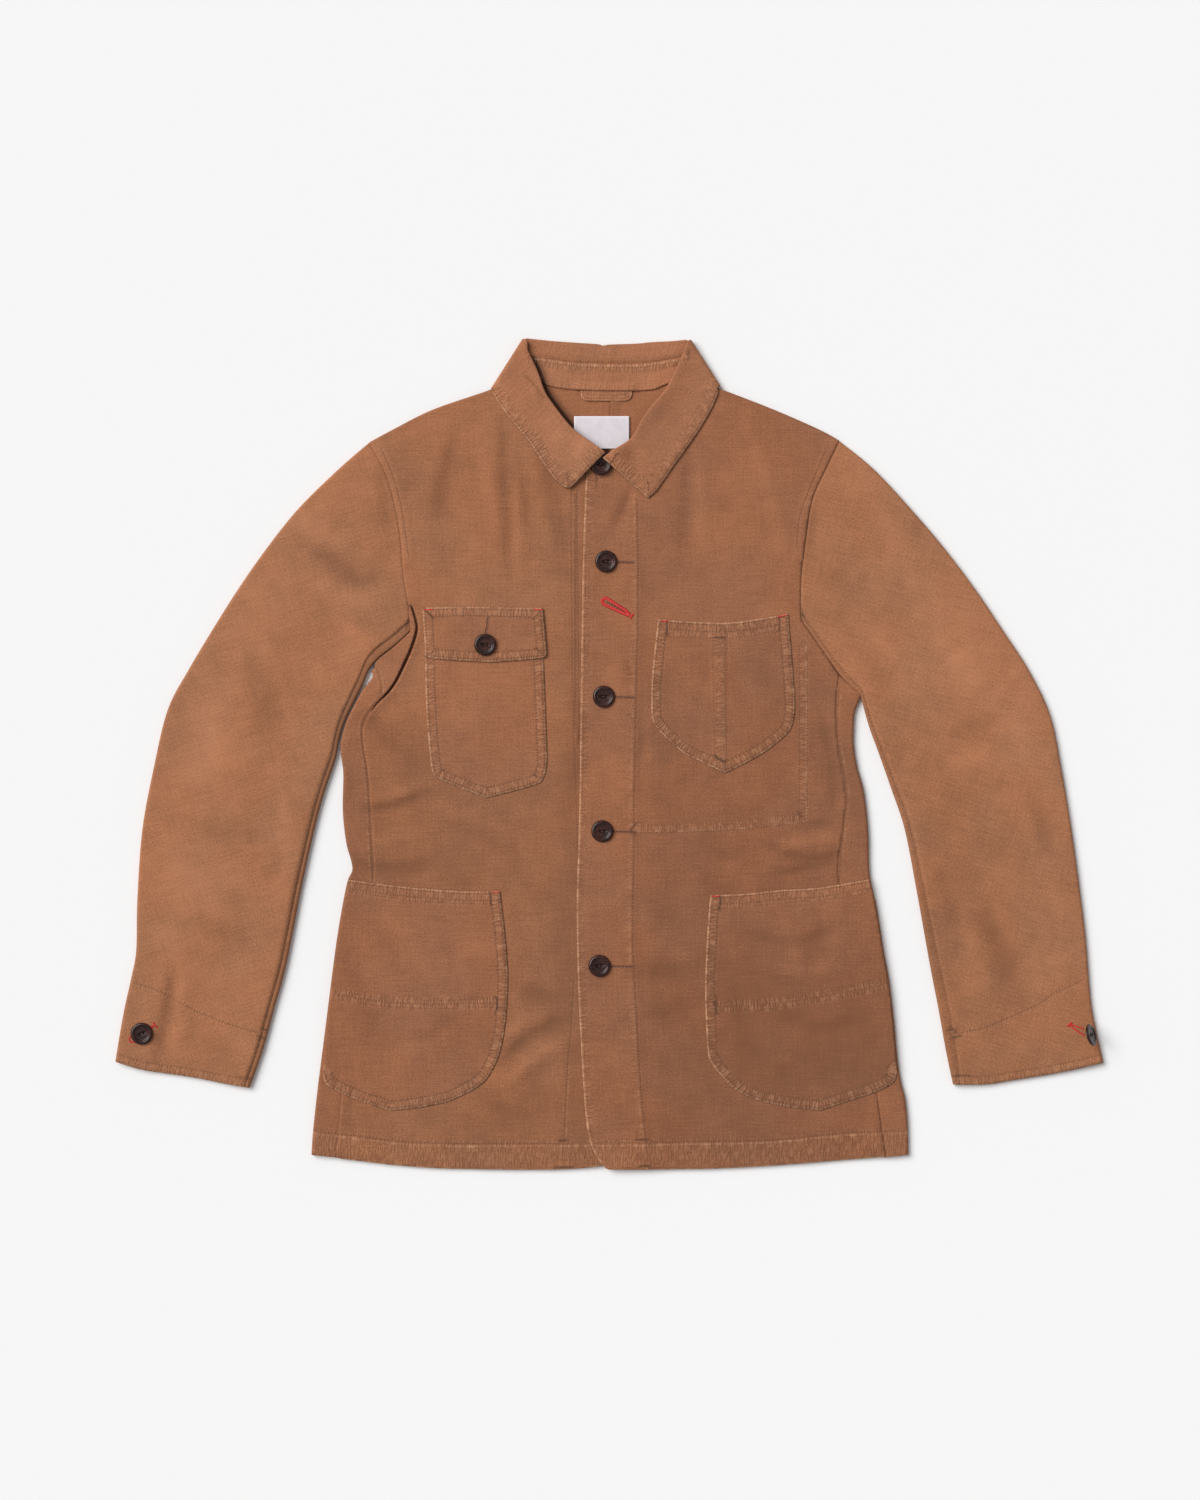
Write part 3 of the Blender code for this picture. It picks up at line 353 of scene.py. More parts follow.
def closed(outline):
    return np.vstack([outline, outline[:1]])


farOff = 1e3    # further than any two places of the jacket
hair = 1e-9     # too short to count


def beside(places, line, reach=farOff):
    # distance from a line, length along it to the nearest point, and the side of it
    gap, run, turn = np.full(len(places), farOff), np.zeros(len(places)), np.ones(len(places))
    low, high = line.min(0) - reach, line.max(0) + reach
    near = np.flatnonzero(((places > low) & (places < high)).all(1))
    part = places[near]
    best, where, hand, start = gap[near], run[near], turn[near], 0.0
    for a, b in zip(line, line[1:]):
        side = b - a
        length = math.hypot(*side)
        if length < hair:
            continue
        share = np.clip((part - a) @ side / length ** 2, 0, 1)
        away = np.hypot(*(part - a - share[:, None] * side).T)
        closer = away < best
        best = np.where(closer, away, best)
        where = np.where(closer, start + share * length, where)
        away = side[0] * (part - a)[:, 1] - side[1] * (part - a)[:, 0]
        hand = np.where(closer, np.where(away < 0, -1, 1), hand)
        start += length
    gap[near], run[near], turn[near] = best, where, hand
    return gap, run, turn


def nearest(places, line, reach=farOff):
    return beside(places, line, reach)[:2]


def gapTo(places, lines, reach=farOff):
    return np.min([nearest(places, line, reach)[0] for line in lines], axis=0)


def smooth(value):
    value = np.clip(value, 0, 1)
    return value * value * (3 - 2 * value)


def insideOf(places, outline):
    x, y = places.T
    inside = np.zeros(len(places), bool)
    for (ax, ay), (bx, by) in zip(outline, np.roll(outline, -1, 0)):
        if ay != by:
            inside ^= ((ay > y) != (by > y)) & (x < ax + (y - ay) * (bx - ax) / (by - ay))
    return inside


def inset(line, room):
    tangent = np.gradient(line, axis=0)
    tangent /= np.hypot(*tangent.T)[:, None] + hair
    return line + room * np.stack([-tangent[:, 1], tangent[:, 0]], -1)


def waves(places, seed, lengths, count=5):
    rng = np.random.default_rng(seed)
    total = np.zeros(len(places))
    for length in lengths:
        for _ in range(count):
            turn, phase = rng.uniform(0, math.tau, 2)
            total += np.sin(places @ [math.cos(turn), math.sin(turn)] * math.tau / length + phase)
    return total / math.sqrt(count * len(lengths))


ripples = ((5.4, 0.3), (7.1, 1.9), (9.3, 4.1), (13.7, 2.2))  # length and phase along a seam


def puckers(run):
    return sum(np.sin(run * math.tau / length + phase) for length, phase in ripples) / len(ripples)


edgeLines = [curve(table[side], 3) for table in (sideFold, sleeveOuter, sleeveInner) for side in sides]
shoulderLines = [curve(shoulder[side], 3) for side in sides]
rollLines = [curve(wingRoll[side], 3) for side in sides]
fallLine = curve(fallEdge, 3)


# heights of the middle of the cloth, in millimetres
def lower(places):
    away, _ = nearest(places, fallLine, 120)
    x, y = places.T
    above = (x > fallLine[0, 0]) & (x < fallLine[-1, 0]) & (y > along(fallLine, 0.5)[1])
    away = np.where(above, 0, away)
    return lay["floorLayer"] + lay["collarLift"] * smooth(1 - (away - lay["liftFlat"]) / lay["liftRamp"])


def relief(places):
    x, y = places.T
    broad, fine = np.zeros((2, len(places)))
    for px, py, degrees, length, width, height in folds:
        turn = math.radians(degrees)
        lengthwise = ((x - px) * math.cos(turn) + (y - py) * math.sin(turn)) / length
        across = ((y - py) * math.cos(turn) - (x - px) * math.sin(turn)) / width
        broad += lay["fold"] * height * np.exp(-lengthwise ** 2 - across ** 2)
    for points, width, height in creases:
        line = curve(points, 4)
        gap, run = nearest(places, line, 4 * width)
        run = run / runs(line)[-1]
        fade = 0.35 + 0.65 * smooth(run / 0.25) * smooth((1 - run) / 0.3)
        width = width * (0.8 + 0.5 * run)
        fine += lay["crease"] * height * fade * np.exp(-(gap / width) ** 2)
    fine += (lay["wave"] * waves(places, 3, (47, 71, 120), 4)
             + lay["ripple"] * waves(places, 5, (17, 24, 33), 6))
    return broad, fine


def upper(places):
    edge = gapTo(places, edgeLines, 90)
    seam = gapTo(places, shoulderLines, 90)
    rise = lay["loft"] + lay["foldRise"] * np.exp(-(edge / lay["rollReach"]) ** 2)
    shape = sum(relief(places)) * smooth(edge / (0.75 * lay["rollReach"]))
    rise = np.clip(rise + shape, lay["lowest"], lay["highest"])
    return lower(places) + lay["touch"] + rise * (1 - np.exp(-(seam / lay["shoulderReach"]) ** 2))


wearAndShadeLook = {"broad": 0.14, "fine": 0.34, "limits": (-2, 1.3), "cloud": 0.05}


def wornAndShaded(places):
    # ridges rub lighter and troughs stay darker: partly wear, partly painted light and shade that show the
    # folds and creases; a soft cloud of tone on top
    broad, fine = relief(places)
    return (wearAndShadeLook["broad"] * broad + wearAndShadeLook["fine"] * np.clip(fine, *wearAndShadeLook["limits"])
            + wearAndShadeLook["cloud"] * waves(places, 11, (28, 44, 70), 5))


def overFront(places):
    ramp = smooth((places[:, 0] - lay["overlapEdge"] - 3) / lay["overlapRamp"])
    return upper(places) + lay["overlapLift"] * (1 - ramp)


bandLook = {"ramp": 4.8, "pucker": 0.22, "edgeDrop": 0.3, "edgeWidth": 1.4}


def band(places, line, width, height):
    # a turned edge is thicker as far as its stitching
    look = bandLook
    gap, run = nearest(places, line, width + 6)
    raised = smooth((width + look["ramp"] / 2 - gap) / look["ramp"])
    return (raised * (height + look["pucker"] * puckers(run))
            - look["edgeDrop"] * np.exp(-(gap / look["edgeWidth"]) ** 2))


jacket = bpy.data.collections.new("choreJacket")
scene.collection.children.link(jacket)


def toObject(name, bm, attributes, material):
    mesh = bpy.data.meshes.new(name)
    bm.to_mesh(mesh)
    bm.free()
    for key, values in attributes.items():
        if values.ndim == 2:
            mesh.attributes.new(key, "FLOAT_VECTOR", "POINT").data.foreach_set("vector", values.ravel())
        else:
            mesh.attributes.new(key, "FLOAT", "POINT").data.foreach_set("value", values)
    mesh.shade_smooth()
    mesh.materials.append(material)
    made = bpy.data.objects.new(name, mesh)
    jacket.objects.link(made)
    return made


def thicken(piece, wall=lay["wall"]):
    layer = piece.modifiers.new("wall", "SOLIDIFY")
    layer.thickness = wall * mm
    layer.offset = 0
    return piece


sewnLook = {
    "edgeReach": 40, "noEdge": 99.0,     # beyond this reach a place counts as far from every edge
    "bandReach": 30.0, "farthest": 50,
    "noRidge": 60.0,                     # for a band with no worn ridge
    "fade": 2.5,                         # over which a band's puckers die out
    "apart": 997,                        # between the patterns of two bands
}


def sewnAttributes(places, flat, edges, bands, tone):
    look = sewnLook
    edgeGap = gapTo(places, edges, look["edgeReach"]) if edges else np.full(len(places), look["noEdge"])
    mask, run, seamSide, wornAt = np.zeros((4, len(places)))
    closest = np.full(len(places), look["bandReach"])
    for index, (line, width, strength, *worn) in enumerate(bands):
        right, left = width if isinstance(width, tuple) else (width, width)
        gap, here, hand = beside(places, line, max(right, left) + 6)
        strong = strength * smooth((np.where(hand < 0, right, left) + 1 - gap) / look["fade"])
        chosen = (strong > mask) | ((np.maximum(mask, strong) == 0) & (gap < closest))
        closest = np.minimum(closest, gap)
        run = np.where(chosen, here + look["apart"] * index, run)
        seamSide = np.where(chosen, np.minimum(gap, look["farthest"]) * hand, seamSide)
        wornAt = np.where(chosen, worn[0] if worn else look["noRidge"], wornAt)
        mask = np.maximum(mask, strong)
    plan = np.column_stack([flat, np.zeros(len(flat))])
    return {"edgeGap": np.minimum(edgeGap, look["noEdge"]), "bandMask": mask, "bandRun": run,
            "seamSide": seamSide, "wornAt": wornAt, "tone": tone, "plan": plan}


def trimmedGrid(outline, step):
    low, high = outline.min(0), outline.max(0)
    columns, rows = (np.ceil((high - low) / step) + 2).astype(int)
    start = (low + high - np.array([columns, rows]) * step) / 2
    bm = bmesh.new()
    bmesh.ops.create_grid(bm, x_segments=int(columns), y_segments=int(rows), size=0.5)
    for vert in bm.verts:
        across, up = (vert.co.x + 0.5) * columns * step, (vert.co.y + 0.5) * rows * step
        vert.co = (start[0] + across, start[1] + up, 0)
    centres = np.array([face.calc_center_median()[:2] for face in bm.faces])
    keep = insideOf(centres, outline)
    bmesh.ops.delete(bm, geom=[face for face, kept in zip(bm.faces, keep) if not kept], context="FACES")
    while True:  # single cells that stick out or hang by a corner
        loose = {face for face in bm.faces if sum(edge.is_boundary for edge in face.edges) > 2}
        for vert in bm.verts:
            if sum(edge.is_boundary for edge in vert.link_edges) > 2:
                loose.add(min(vert.link_faces, key=lambda face: -sum(e.is_boundary for e in face.edges)))
        if not loose:
            break
        bmesh.ops.delete(bm, geom=list(loose), context="FACES")
    return bm


fitLook = {"evenRounds": 30, "rings": 3, "smoothRounds": 6}


def fitEdge(bm, outline, corners):
    # the rim slides onto the outline, with a point at each corner, and the rings behind it follow
    line = closed(outline)
    total = runs(line)[-1]
    left = {edge for edge in bm.edges if edge.is_boundary}
    first = min((v for edge in left for v in edge.verts), key=lambda v: (v.co.x, v.co.y))
    loop, vert, edge = [], first, None
    while True:
        loop.append(vert)
        edge = next(e for e in vert.link_edges if e.is_boundary and e is not edge)
        vert = edge.other_vert(vert)
        if vert is first:
            break
    places = np.array([v.co[:2] for v in loop])
    _, run = nearest(places, line)
    steps = (np.roll(run, -1) - run + total / 2) % total - total / 2
    if steps.sum() < 0:
        loop, places, run = loop[::-1], places[::-1], run[::-1]
        steps = (np.roll(run, -1) - run + total / 2) % total - total / 2
    run = run[0] + np.concatenate([[0], np.cumsum(steps[:-1])])
    fixed = np.zeros(len(loop), bool)
    for corner in corners:
        place = nearest(np.array([corner], float), line)[1][0]
        away = (run - place + total / 2) % total - total / 2
        index = np.argmin(np.abs(away))
        run[index] -= away[index]
        fixed[index] = True
    for _ in range(fitLook["evenRounds"]):
        before, after = np.roll(run, 1), np.roll(run, -1)
        before[0] -= total
        after[-1] += total
        run = np.where(fixed, run, 0.5 * run + 0.25 * (before + after))
    for vert, place in zip(loop, along(line, (run % total) / total)):
        vert.co = (*place, 0)
    rim = set(loop)
    ring = set(rim)
    for _ in range(fitLook["rings"]):
        ring |= {edge.other_vert(vert) for vert in ring for edge in vert.link_edges}
    for _ in range(fitLook["smoothRounds"]):
        bmesh.ops.smooth_vert(bm, verts=list(ring - rim), factor=0.5, use_axis_x=True, use_axis_y=True)


def flatCloth(name, outlines, step, surface, material, edges=(), bands=(), corners=(), tone=None,
              wall=lay["wall"]):
    whole = bmesh.new()
    for outline in outlines:
        bm = trimmedGrid(outline, step)
        fitEdge(bm, outline, corners)
        part = bpy.data.meshes.new("part")
        bm.to_mesh(part)
        bm.free()
        whole.from_mesh(part)
        bpy.data.meshes.remove(part)
    places = np.array([vert.co[:2] for vert in whole.verts])
    heights = surface(places)
    for vert, height in zip(whole.verts, heights):
        vert.co = (vert.co.x * mm, vert.co.y * mm, height * mm)
    shade = wornAndShaded(places) if material is not paints["tape"] else np.zeros(len(places))
    if tone is not None:
        shade = shade + tone(places)
    made = toObject(name, whole, sewnAttributes(places, places, edges, bands, shade), material)
    return thicken(made, wall)


def rowCloth(name, rows, material, edges=(), bands=(), tone=None, skip=None, flat=None):
    down, across = rows.shape[0] - 1, rows.shape[1] - 1
    bm = bmesh.new()
    bmesh.ops.create_grid(bm, x_segments=across, y_segments=down, size=0.5)
    cells = np.array([((v.co.y + 0.5) * down, (v.co.x + 0.5) * across) for v in bm.verts])
    cells = cells.round().astype(int)
    if skip is not None:
        centres = np.array([face.calc_center_median()[:2] for face in bm.faces])
        row = ((centres[:, 1] + 0.5) * down).astype(int)
        column = ((centres[:, 0] + 0.5) * across).astype(int)
        gone = skip(row, column)
        faces = [face for face, lost in zip(bm.faces, gone) if lost]
    places = rows[cells[:, 0], cells[:, 1]]
    for vert, place in zip(bm.verts, places):
        vert.co = place * mm
    if flat is None:
        width = np.cumsum(np.linalg.norm(np.diff(rows, axis=1, prepend=rows[:, :1]), axis=2), axis=1)
        length = np.cumsum(np.linalg.norm(np.diff(rows, axis=0, prepend=rows[:1]), axis=2), axis=0)
        flat = np.stack([width, length], -1)
    flat = flat[cells[:, 0], cells[:, 1]]
    shade = wornAndShaded(places[:, :2]) + (0 if tone is None else tone(places))
    values = sewnAttributes(places[:, :2], flat, edges, bands, shade)
    if skip is not None:
        keep = sorted({v.index for face in bm.faces if face not in set(faces) for v in face.verts})
        values = {key: value[keep] for key, value in values.items()}
        bmesh.ops.delete(bm, geom=faces, context="FACES")
    bmesh.ops.recalc_face_normals(bm, faces=bm.faces)
    return thicken(toObject(name, bm, values, material))


def patch(start, end, low, high, u, v):
    u, v = u[..., None], v[..., None]
    zero, one = np.zeros(1), np.ones(1)
    corners = (start(zero) * (1 - u) * (1 - v) + end(zero) * u * (1 - v) + start(one) * (1 - u) * v
               + end(one) * u * v)
    return (start(v[..., 0]) * (1 - u) + end(v[..., 0]) * u + low(u[..., 0]) * (1 - v)
            + high(u[..., 0]) * v - corners)


def path(shares, lines):
    starts = np.concatenate([[0], np.cumsum(shares)])

    def at(t):
        t = np.asarray(t, float)
        place = np.zeros(t.shape + (2,))
        for start, share, line in zip(starts, shares, lines):
            here = t >= start - hair
            place[here] = along(line, (t[here] - start) / share)
        return place
    return at


def rolled(edge, toward, low, high, angle):
    radius = (high - low) / 2
    reach = lay["wall"] / 2 + radius * (1 - math.cos(math.radians(angle)))
    place = edge + toward * reach[:, None]
    return np.column_stack([place, low + radius * (1 + math.sin(math.radians(angle)))])


def heightOf(places, surface):
    flatPlaces = places.reshape(-1, 2)
    return np.concatenate([flatPlaces, surface(flatPlaces)[:, None]], 1).reshape(places.shape[:-1] + (3,))


# a socket, so that shader maths reads as sums
class Wire:
    def __init__(self, tree, socket=None):
        self.tree, self.socket = tree, socket

    def node(self, kind, settings=None, sockets=None, output=0):
        made = self.tree.nodes.new("ShaderNode" + kind)
        for key, value in (settings or {}).items():
            setattr(made, key, value)
        for key, value in (sockets or {}).items():
            if isinstance(value, Wire):
                self.tree.links.new(value.socket, made.inputs[key])
            else:
                made.inputs[key].default_value = value
        return Wire(self.tree, made.outputs[output])

    def calc(self, operation, *values):
        return self.node("Math", {"operation": operation}, dict(enumerate(values)))

    def __add__(self, other):
        return self.calc("ADD", self, other)

    def __sub__(self, other):
        return self.calc("SUBTRACT", self, other)

    def __rsub__(self, other):
        return self.calc("SUBTRACT", other, self)

    def __mul__(self, other):
        return self.calc("MULTIPLY", self, other)

    def __pow__(self, other):
        return self.calc("POWER", self, other)

    __radd__ = __add__
    __rmul__ = __mul__

    def value(self, name):
        return self.node("Attribute", {"attribute_name": name}, output=2)

    def bell(self, centre, width):
        away = (self - centre) * (1 / width)
        return self.calc("EXPONENT", away * away * -1.0)

    def step(self, low, high):
        return self.node("MapRange", {"interpolation_type": "SMOOTHSTEP"}, {0: self, 1: low, 2: high})

    def scaled(self, factors):
        return self.node("VectorMath", {"operation": "MULTIPLY"}, {0: self, 1: factors})

    def noise(self, scale, detail=2.0, roughness=0.5):
        return self.node("TexNoise", None, {"Vector": self, "Scale": scale, "Detail": detail,
                                            "Roughness": roughness})

    def mix(self, low, high):
        return self.node("Mix", {"data_type": "RGBA"}, {0: self, 6: low, 7: high}, output=2)


def tint(red, green, blue, strength=1.0):
    linear = [((c / 255 + 0.055) / 1.055) ** 2.4 if c > 10 else c / 255 / 12.92 for c in (red, green, blue)]
    return (*[strength * c for c in linear], 1)


def newMaterial(name, **sockets):
    material = bpy.data.materials.new(name)
    material.use_nodes = True
    shader = material.node_tree.nodes["Principled BSDF"]
    for key, value in sockets.items():
        shader.inputs[key].default_value = value
    return material, Wire(material.node_tree), shader


stitchPitch = 2.7
pocketRows = (2.2, 8.6)   # from the edge of a pocket to its two rows of stitches

canvasLook = {
    "dark": 0.66, "light": 1.34,      # spread of the colour round the cloth's own, for the dye patterns and the painted shade alike
    "deep": 0.16,                     # the colour's share where hardly any light gets in
    "worn": (200, 150, 115),
    "roughness": 0.92, "specular": 0.25, "sheen": 0.1, "sheenRoughness": 0.4,
    "pucker": 0.5, "slub": 0.07, "grain": 0.09, "weave": 0.04, "ridge": 0.12,   # heights in millimetres
    "rowWidth": 0.75, "rowDepth": 0.25, "ridgeWidth": 0.85,
    # how strongly each pattern tells in the colour; pieceTone carries wear and painted shade, troughTone
    # and rowTone are painted shade in pucker valleys and stitch holes
    "slubTone": 0.62, "grainTone": 1.9, "mottleTone": 0.55, "broadTone": 0.4,
    "pieceTone": 0.5, "bandTone": 0.1, "troughTone": 0.14, "rowTone": 0.42,
    # the edge that rubs white: its middle and half width, and how much each place is rubbed
    "edge": (0.4, 0.88), "edgeRub": 0.76, "bandRub": 0.4, "ridgeRub": 0.42,
}


def canvas(name, colour, rows=(), wear=0.8):
    look = canvasLook
    material, start, shader = newMaterial(name, **{
        "Roughness": look["roughness"], "Metallic": 0.0, "Sheen Weight": look["sheen"],
        "Sheen Roughness": look["sheenRoughness"]})
    shader.inputs["Specular IOR Level"].default_value = look["specular"]
    plan = start.node("Attribute", {"attribute_name": "plan"}, output=1)
    edgeGap, mask, run, tone, seamSide, wornAt = [
        start.value(key) for key in ("edgeGap", "bandMask", "bandRun", "tone", "seamSide", "wornAt")]
    wander = plan.noise(0.13, 1.0) - 0.5
    strokes = start.node("CombineXYZ", None, {0: run * 0.62 + wander * 1.6, 1: seamSide * 0.12, 2: 0.0})
    trough = (1.0 - strokes.noise(1.0, 2.0, 0.55).step(0.36, 0.6)) * mask
    holes = start.calc("COSINE", run * (math.tau / stitchPitch)) * 0.5 + 0.5
    slub = (plan.scaled((0.035, 0.75, 1)).noise(1.0, 2.0)
            + plan.scaled((0.75, 0.03, 1)).noise(1.0, 2.0) * 0.7)
    grain = plan.noise(0.62, 3.0, 0.7)
    mottle = plan.noise(0.05, 4.0, 0.65)
    broad = plan.noise(0.006, 2.0, 0.5)
    across = plan.scaled((4.2, 0.35, 1)).noise(1.0, 1.0) + plan.scaled((0.35, 4.2, 1)).noise(1.0, 1.0)
    edge = edgeGap.bell(*look["edge"])
    groove = seamSide.bell(0.0, look["rowWidth"]) * mask.step(0.0, 0.35)
    for row in rows:
        groove = groove + edgeGap.bell(row, look["rowWidth"])
    groove = groove * (holes * 0.75 + 0.25)
    ridge = (seamSide - wornAt).bell(0.0, look["ridgeWidth"]) * mask
    # tone brings wear and painted shade; the pucker troughs and stitch-row grooves are darkened as painted
    # shade
    shade = (0.5 + (slub - 0.85) * look["slubTone"] + (grain - 0.5) * look["grainTone"]
             + (mottle - 0.5) * look["mottleTone"] + (broad - 0.5) * look["broadTone"]
             + tone * look["pieceTone"] + mask * look["bandTone"] - trough * look["troughTone"]
             - groove * look["rowTone"])
    base = shade.step(-0.25, 1.25).mix(tint(*colour, look["dark"]), tint(*colour, look["light"]))
    # painted shade: where tone is very low the colour goes nearly black
    base = tone.step(-4.0, -1.7).mix(tint(*colour, look["deep"]), base)
    warm = plan.noise(0.011, 2.0).step(0.38, 0.62)
    base = warm.mix(base.scaled((0.985, 1.0, 1.02)), base.scaled((1.025, 0.99, 0.955)))
    rub = (edge * (look["edgeRub"] + wander * 1.9 - trough * 0.35) * wear
           + (mask - trough) * (look["bandRub"] + wander * 0.7) * wear
           + ridge * (look["ridgeRub"] + wander * 1.6) * wear).step(0.0, 1.15)
    coloured = rub.mix(base, tint(*look["worn"]))
    start.tree.links.new(coloured.socket, shader.inputs["Base Color"])
    height = (slub * look["slub"] + grain * look["grain"] + across * look["weave"] + ridge * look["ridge"]
              - trough * look["pucker"] - groove * look["rowDepth"])
    bump = start.node("Bump", None, {"Height": height, "Distance": mm, "Strength": 1.0})
    start.tree.links.new(bump.socket, shader.inputs["Normal"])
    return material


def thread(name, colour, roughness=0.6):
    material, start, shader = newMaterial(name, **{"Roughness": roughness, "Sheen Weight": 0.1})
    place = start.node("TexCoord", output=3)
    twist = place.noise(1600.0, 1.0)
    shade = twist.step(0.25, 0.75).mix(tint(*colour, 0.8), tint(*colour, 1.2))
    start.tree.links.new(shade.socket, shader.inputs["Base Color"])
    bump = start.node("Bump", None, {"Height": twist, "Distance": 0.0001, "Strength": 0.6})
    start.tree.links.new(bump.socket, shader.inputs["Normal"])
    return material


hornLook = {
    "dark": (30, 13, 10), "light": (80, 40, 31), "roughness": 0.26, "specular": 0.3,
    "coat": 0.2, "coatRoughness": 0.08,
}


def horn(name):
    material, start, shader = newMaterial(name, **{"Coat Weight": hornLook["coat"],
                                                   "Coat Roughness": hornLook["coatRoughness"]})
    shader.inputs["Specular IOR Level"].default_value = hornLook["specular"]
    place = start.node("TexCoord", output=3)
    streak = place.scaled((260, 1400, 400)).noise(1.0, 3.0, 0.6)
    cloud = place.noise(180.0, 2.0)
    shade = (streak * 0.6 + cloud * 0.4).step(0.4, 0.75)
    base = shade.mix(tint(*hornLook["dark"]), tint(*hornLook["light"]))
    start.tree.links.new(base.socket, shader.inputs["Base Color"])
    start.tree.links.new((hornLook["roughness"] + streak * 0.15).socket, shader.inputs["Roughness"])
    scratch = place.noise(2600.0, 2.0)
    bump = start.node("Bump", None, {"Height": scratch, "Distance": 0.00003, "Strength": 0.5})
    start.tree.links.new(bump.socket, shader.inputs["Normal"])
    return material


tapeLook = {"roughness": 0.55, "sheen": 0.15, "edge": (246, 244, 246), "edgeWidth": 1.3}


def tape(name, colour):
    material, start, shader = newMaterial(name, **{"Roughness": tapeLook["roughness"],
                                                   "Sheen Weight": tapeLook["sheen"]})
    plan = start.node("Attribute", {"attribute_name": "plan"}, output=1)
    rib = plan.scaled((0.4, 5.0, 1)).noise(1.0, 1.0)
    cloud = plan.noise(0.09, 2.0)
    edge = start.value("edgeGap").bell(0.0, tapeLook["edgeWidth"])
    shade = 0.5 + (rib - 0.5) * 0.7 + (cloud - 0.5) * 0.6 + start.value("tone") * 0.5
    base = shade.step(0.0, 1.0).mix(tint(*colour, 0.82), tint(*colour, 1.1))
    base = (edge * 0.6).mix(base, tint(*tapeLook["edge"]))
    start.tree.links.new(base.socket, shader.inputs["Base Color"])
    bump = start.node("Bump", None, {"Height": rib, "Distance": 0.00006, "Strength": 0.7})
    start.tree.links.new(bump.socket, shader.inputs["Normal"])
    return material


paints = {
    "body": canvas("canvas_body", (151, 99, 70)),
    "chest": canvas("canvas_chest", (157, 104, 73)),
    "sleeve": canvas("canvas_sleeve", (164, 110, 78), rows=(7.2,)),
    "collar": canvas("canvas_collar", (164, 109, 78), rows=(2.0,), wear=0.7),
    "pocket": canvas("canvas_pocket", (152, 100, 71), rows=pocketRows),
    "inside": canvas("canvas_back", (151, 99, 70)),
    "rust": thread("thread_rust", (116, 70, 47)),
    "seam": thread("thread_seam", (138, 88, 62)),
    "brown": thread("thread_brown", (62, 34, 26)),
    "red": thread("thread_red", (205, 44, 42), 0.5),
    "horn": horn("horn_button"),
    "tape": tape("label_tape_weave", (222, 214, 219)),
}
print("materials ready")


# what every finished piece is told
def settle(piece, slot, *nodes):
    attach(piece, "root")
    if nodes:
        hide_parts(*nodes)


# the backs lie flat on the surface, then go round the side folds up to the side seams
backLook = {
    "across": 61, "side": 150, "arm": 20, "up": 55, "strip": 9,   # rows and columns
    "outer": (0.6, 0.12, 0.28),          # shares of the side fold, the underarm and the armhole
    "top": (0.33, 0.67),                 # shares of the neck and the shoulder
    "overlap": 3.5,                      # how far the right half goes under the left one
    "seamRise": 1.3, "seamWidth": 8,
    "lift": 0.3,
    "neckTone": 0.25, "hiddenTone": -0.1,
    # tone of the strip on the front, how much darker it is low down, and how deep its painted shade is by
    # the side fold or in the notch
    "stripTone": {"right": (0.02, 0.26, 0.7), "left": (-0.06, 0.34, 0.25)},
}
wingShade = {"depth": 5.5, "back": 4.8, "stand": 4.5}   # painted shade in the gap beside the right wing: its depth, and its widths on the back and the stand
foldAngles = list(range(-75, 91, 15))
hemWidths = (22, 3)   # of the puckers below and above the hem's row


